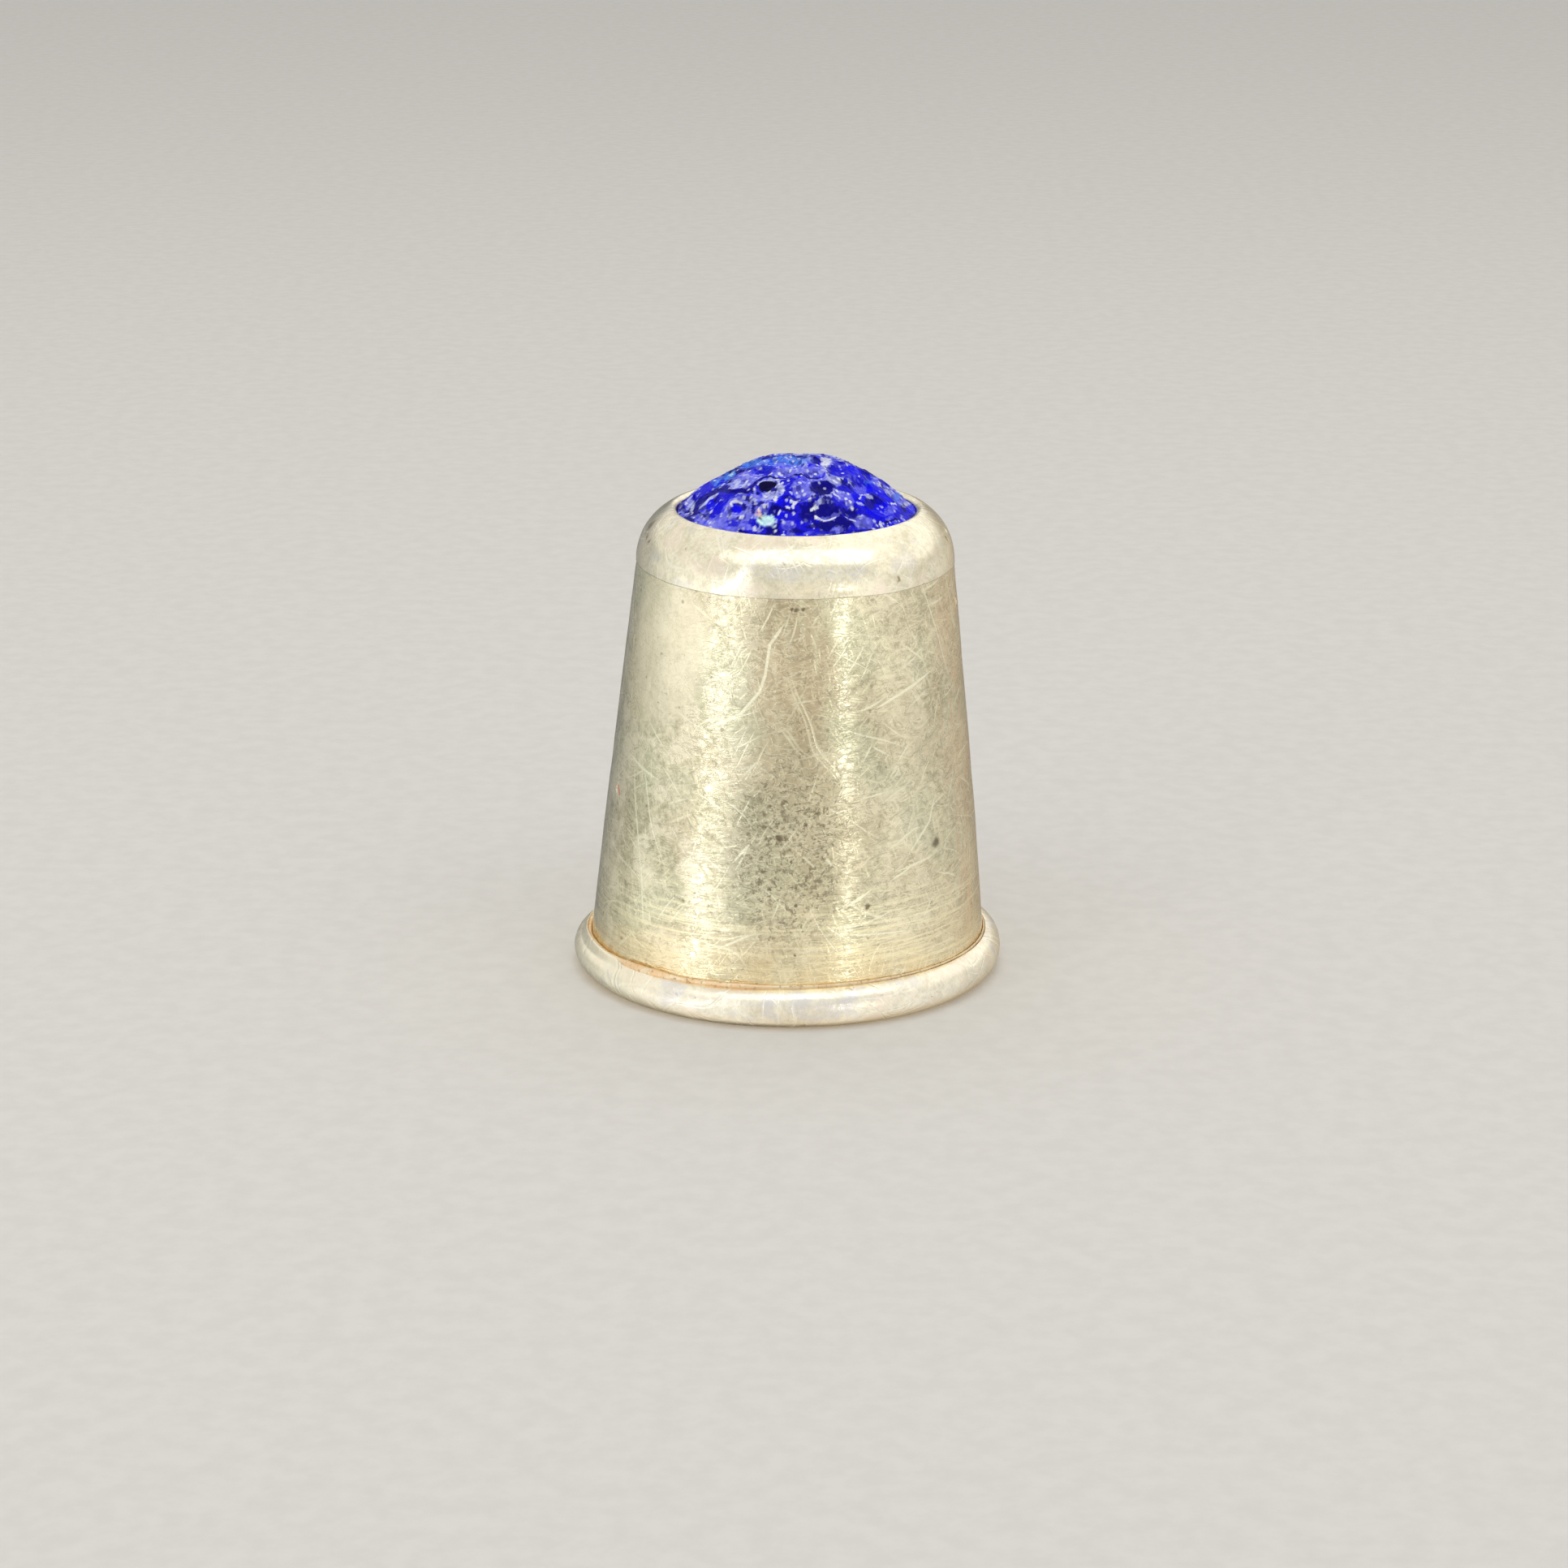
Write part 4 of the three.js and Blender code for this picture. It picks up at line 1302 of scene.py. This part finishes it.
def lumps(x, y):
    return 0.012 * flat_noise(x, y, 0.9, 72) + 0.006 * flat_noise(x, y, 0.3, 73)


def level(x, y):
    return 0.0 * x


def crumple(x, y):
    """Small tilted facets."""
    rng = np.random.default_rng(74)
    facet_x, facet_y = rng.uniform(-5.4, 5.4, (2, 420))
    owner = nearest(x, y, facet_x, facet_y)
    tilt = rng.normal(0, 0.045, (420, 2))[owner]
    rise = tilt[..., 0] * (x - facet_x[owner]) + tilt[..., 1] * (y - facet_y[owner])
    return np.clip(rise, -0.014, 0.014)


def build_plate():
    return build_disc("back_plate_sheet", plate_high.x - 0.01, plate_low.z, plate_high.z - 0.05,
                      dish, dish, rows=44, columns=220)


def build_cement():
    return build_disc("cement_bed_uneven", cement_high.x - 0.04, cement_low.z + 0.01,
                      cement_high.z - 0.04, lumps, level, rows=40, columns=180)


def build_foil():
    return build_disc("foil_backing_crumpled", foil_high.x - 0.02, foil_low.z + 0.012,
                      foil_high.z - 0.012, crumple, crumple, rows=90, columns=260, edge=0.012)


# ---------------------------------------------------------------- all pieces
def finish_piece(piece, materials, node):
    for material in materials:
        piece.data.materials.append(material)
    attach(piece, "root")
    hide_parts(node)


inside_metal = inner_silver()
collar_metal = satin_silver(
    "rubbed_silver_collar", scratch_gain=0.7, cool=(0.72, 0.67, 0.51), warm=(0.98, 0.925, 0.74),
    roughness=0.22, frost=0.007, lilac=0.30)
rim_metal = satin_silver(
    "rubbed_silver_rim", scratch_gain=0.75, cool=(0.78, 0.725, 0.60), warm=(1.0, 0.95, 0.79),
    roughness=0.30, frost=0.016, lilac=0.50, is_rim=True)

finish_piece(build_wall(), [wall_silver(), inside_metal], "cone_wall")
finish_piece(build_rim(), [rim_metal], "rim_ring")
finish_piece(build_seam(), [solder_material()], "rim_solder_seam")
finish_piece(build_collar(), [collar_metal], "bezel_collar")
finish_piece(build_glass(), [glass_material()], "glass_cap")
finish_piece(build_plate(), [inside_metal], "back_plate")
finish_piece(build_cement(), [cement_material()], "cement_bed")
finish_piece(build_foil(), [foil_material()], "foil_backing")

# ---------------------------------------------------------------- stage
# What the silver mirrors near the horizon: direction in degrees, 0 towards the camera and
# positive right, and radiance
STUDIO = [
    (-170, 0.17, 0.17, 0.16), (-160, 0.27, 0.27, 0.26), (-148, 0.37, 0.37, 0.345),
    (-134, 0.47, 0.47, 0.435), (-118, 0.62, 0.62, 0.575), (-102, 0.82, 0.83, 0.78),
    (-86, 1.03, 1.02, 0.98), (-70, 1.08, 1.06, 1.01), (-56, 1.10, 1.08, 1.03),
    (-46, 1.06, 1.06, 1.03), (-36, 0.97, 0.97, 0.96), (-26, 0.88, 0.87, 0.83),
    (-14, 0.82, 0.775, 0.70), (0, 0.81, 0.76, 0.675), (16, 0.83, 0.78, 0.69),
    (28, 0.87, 0.83, 0.75), (44, 0.98, 0.955, 0.88), (64, 0.97, 0.945, 0.90),
    (78, 0.90, 0.88, 0.83), (90, 0.82, 0.795, 0.76), (108, 0.78, 0.75, 0.68),
    (122, 0.67, 0.65, 0.61), (134, 0.63, 0.59, 0.51), (148, 0.56, 0.505, 0.40),
    (160, 0.42, 0.37, 0.29), (172, 0.30, 0.26, 0.21)]
# Two narrow windows: azimuth, its change below, half width (all degrees), gain, how far down
WINDOWS = [(-46.0, -10.0, 3.0, 3.5, 0.24), (33.5, 3.0, 3.0, 4.4, 0.11)]


def surroundings(direction):
    """Colour seen in the silver along a unit vector that points away from the thimble."""
    x, y, up = split(direction)
    azimuth = math_node("ARCTAN2", x, y * -1.0) * (180 / math.pi)
    ramp = make("ShaderNodeValToRGB", {0: azimuth.ramp(over=(-180, 180), smooth=False)})
    stops = ramp.color_ramp.elements
    while len(stops) < len(STUDIO):
        stops.new(0.5)
    for stop, (degrees, *rgb) in zip(stops, STUDIO):
        stop.position = degrees / 360 + 0.5
        stop.color = (*rgb, 1.0)
    low = Field(ramp.outputs[0])
    for window, shift, half, gain, foot in WINDOWS:
        middle = up.ramp(over=(-0.045, -0.095), to=(window, window + shift))
        side = abs(azimuth - middle).ramp(over=(half, half * 0.4))
        band = up.ramp(over=(0.10, 0.02)) * up.ramp(over=(-foot - 0.04, -foot))
        glow = side * band * gain
        low = mix(low, join(glow, glow, glow), amount=1.0, blend="ADD")
    front = abs(azimuth).ramp(over=(66.0, 56.0))
    sides = mix((0.94, 0.92, 0.87), (1.16, 1.13, 1.06), amount=azimuth.ramp(over=(-20.0, 40.0)))
    high = mix(sides, (0.80, 0.80, 0.785), amount=front)
    return mix(low, high, amount=up.ramp(over=(0.10, 0.34)))


def floor_material():
    """Pale to the camera. To glossy rays it is black and glows with the studio's colours, so silver
    mirrors the studio in it as above it; the glow is painted darker near the foot.
    """
    material, surface, position = new_material("pale_floor")
    material.cycles.emission_sampling = "NONE"
    tree = material.node_tree
    glossy = source(tree, "ShaderNodeLightPath", "Is Glossy Ray")
    grain = position.noise(scale=0.9, detail=4.0, roughness=0.6).ramp(over=(0.3, 0.7))
    pale = mix((0.72, 0.705, 0.68), (0.76, 0.745, 0.72), amount=grain)
    away = source(tree, "ShaderNodeNewGeometry", "Incoming").scaled(-1.0)
    near = position.length().ramp(over=(9.0, 24.0), to=(0.95, 1.0))
    set_inputs(surface, {
        "Base Color": mix(pale, (0.02, 0.02, 0.02), amount=glossy),
        "Roughness": 0.9,
        "Specular IOR Level": 0.2,
        "Emission Color": surroundings(away),
        "Emission Strength": glossy * near})
    return material


def build_floor():
    """A square grid, finest in the middle."""
    count, half_size, drop = 96, 4000.0, 0.004
    places = np.linspace(-1, 1, count)
    places = np.sign(places) * np.abs(places) ** 2.4 * half_size
    x, y = np.meshgrid(places, places)
    points = np.stack([x, y, np.full_like(x, -drop)], -1).reshape(-1, 3)
    step = np.arange(count - 1)
    corner = (step[:, None] * count + step[None]).ravel()
    quads = np.stack([corner, corner + 1, corner + count + 1, corner + count], -1)
    piece = write_mesh("floor", points, quads)
    piece.data.materials.append(floor_material())


def softbox(name, azimuth, elevation, distance, width, height, radiance, colour):
    """An area light aimed at the thimble. Azimuth is counted from the front, positive right."""
    light = bpy.data.lights.new(name, "AREA")
    light.shape, light.size, light.size_y = "RECTANGLE", width * MM, height * MM
    light.energy = radiance * math.pi * width * height * MM * MM
    light.color = colour
    lamp = bpy.data.objects.new(name, light)
    turn, rise = math.radians(azimuth), math.radians(elevation)
    target = Vector((0, 0, 10)) * MM
    direction = Vector((math.sin(turn) * math.cos(rise), -math.cos(turn) * math.cos(rise),
                        math.sin(rise)))
    lamp.location = target + direction * distance * MM
    lamp.rotation_mode = "QUATERNION"
    lamp.rotation_quaternion = (target - lamp.location).to_track_quat("-Z", "Y")
    lamp.visible_camera = False
    bpy.context.scene.collection.objects.link(lamp)
    return lamp


def build_lights():
    softbox("strip_left", azimuth=-39, elevation=20, distance=260, width=26, height=150,
            radiance=2.0, colour=(1.0, 0.995, 0.97))
    right = softbox("strip_right", azimuth=38, elevation=20, distance=260, width=24, height=150,
                    radiance=1.0, colour=(1.0, 0.985, 0.95))
    softbox("front_high", azimuth=3, elevation=66, distance=280, width=470, height=146,
            radiance=0.80, colour=(1.0, 0.995, 0.97))
    top = softbox("top", azimuth=180, elevation=76, distance=300, width=260, height=200,
                  radiance=1.1, colour=(1.0, 0.99, 0.97))
    right.visible_glossy = top.visible_glossy = False


def build_world():
    """The camera and the diffuse light see plain greys; silver sees the studio."""
    world = bpy.data.worlds.new("studio")
    bpy.context.scene.world = world
    world.use_nodes = True
    world.cycles.sampling_method = "NONE"
    tree = world.node_tree
    tree.nodes.clear()
    output = add_node(tree, "ShaderNodeOutputWorld")
    background = add_node(tree, "ShaderNodeBackground")
    tree.links.new(background.outputs[0], output.inputs[0])
    path = add_node(tree, "ShaderNodeLightPath").outputs
    mirrored = surroundings(source(tree, "ShaderNodeTexCoord", "Generated"))
    seen = mix((0.62, 0.61, 0.59), mirrored, amount=Field(path["Is Glossy Ray"]))
    seen = mix(seen, (0.60, 0.595, 0.58), amount=Field(path["Is Camera Ray"]))
    set_inputs(background, {0: seen})


def build_camera():
    camera = bpy.data.cameras.new("camera")
    camera.lens, camera.sensor_width, camera.sensor_fit = 93.17, 36.0, "HORIZONTAL"
    camera.clip_start, camera.clip_end = 0.005, 20
    holder = bpy.data.objects.new("camera", camera)
    bpy.context.scene.collection.objects.link(holder)
    place = Vector((-0.042, -167.30, 59.93)) * MM
    forward = Vector((-0.00081872, 0.95488015, -0.29699028)).normalized()
    roll = math.radians(0.3)
    across = forward.cross(Vector((0, 0, 1))).normalized()
    upward = across.cross(forward)
    side = across * math.cos(roll) + upward * math.sin(roll)
    top = upward * math.cos(roll) - across * math.sin(roll)
    rotation = Matrix((side, top, -forward)).transposed().to_4x4()
    holder.matrix_world = Matrix.Translation(place) @ rotation
    bpy.context.scene.camera = holder


build_floor()
build_lights()
build_world()
build_camera()
bpy.context.scene.view_settings.view_transform = "Standard"
bpy.context.scene.cycles.use_denoising = True
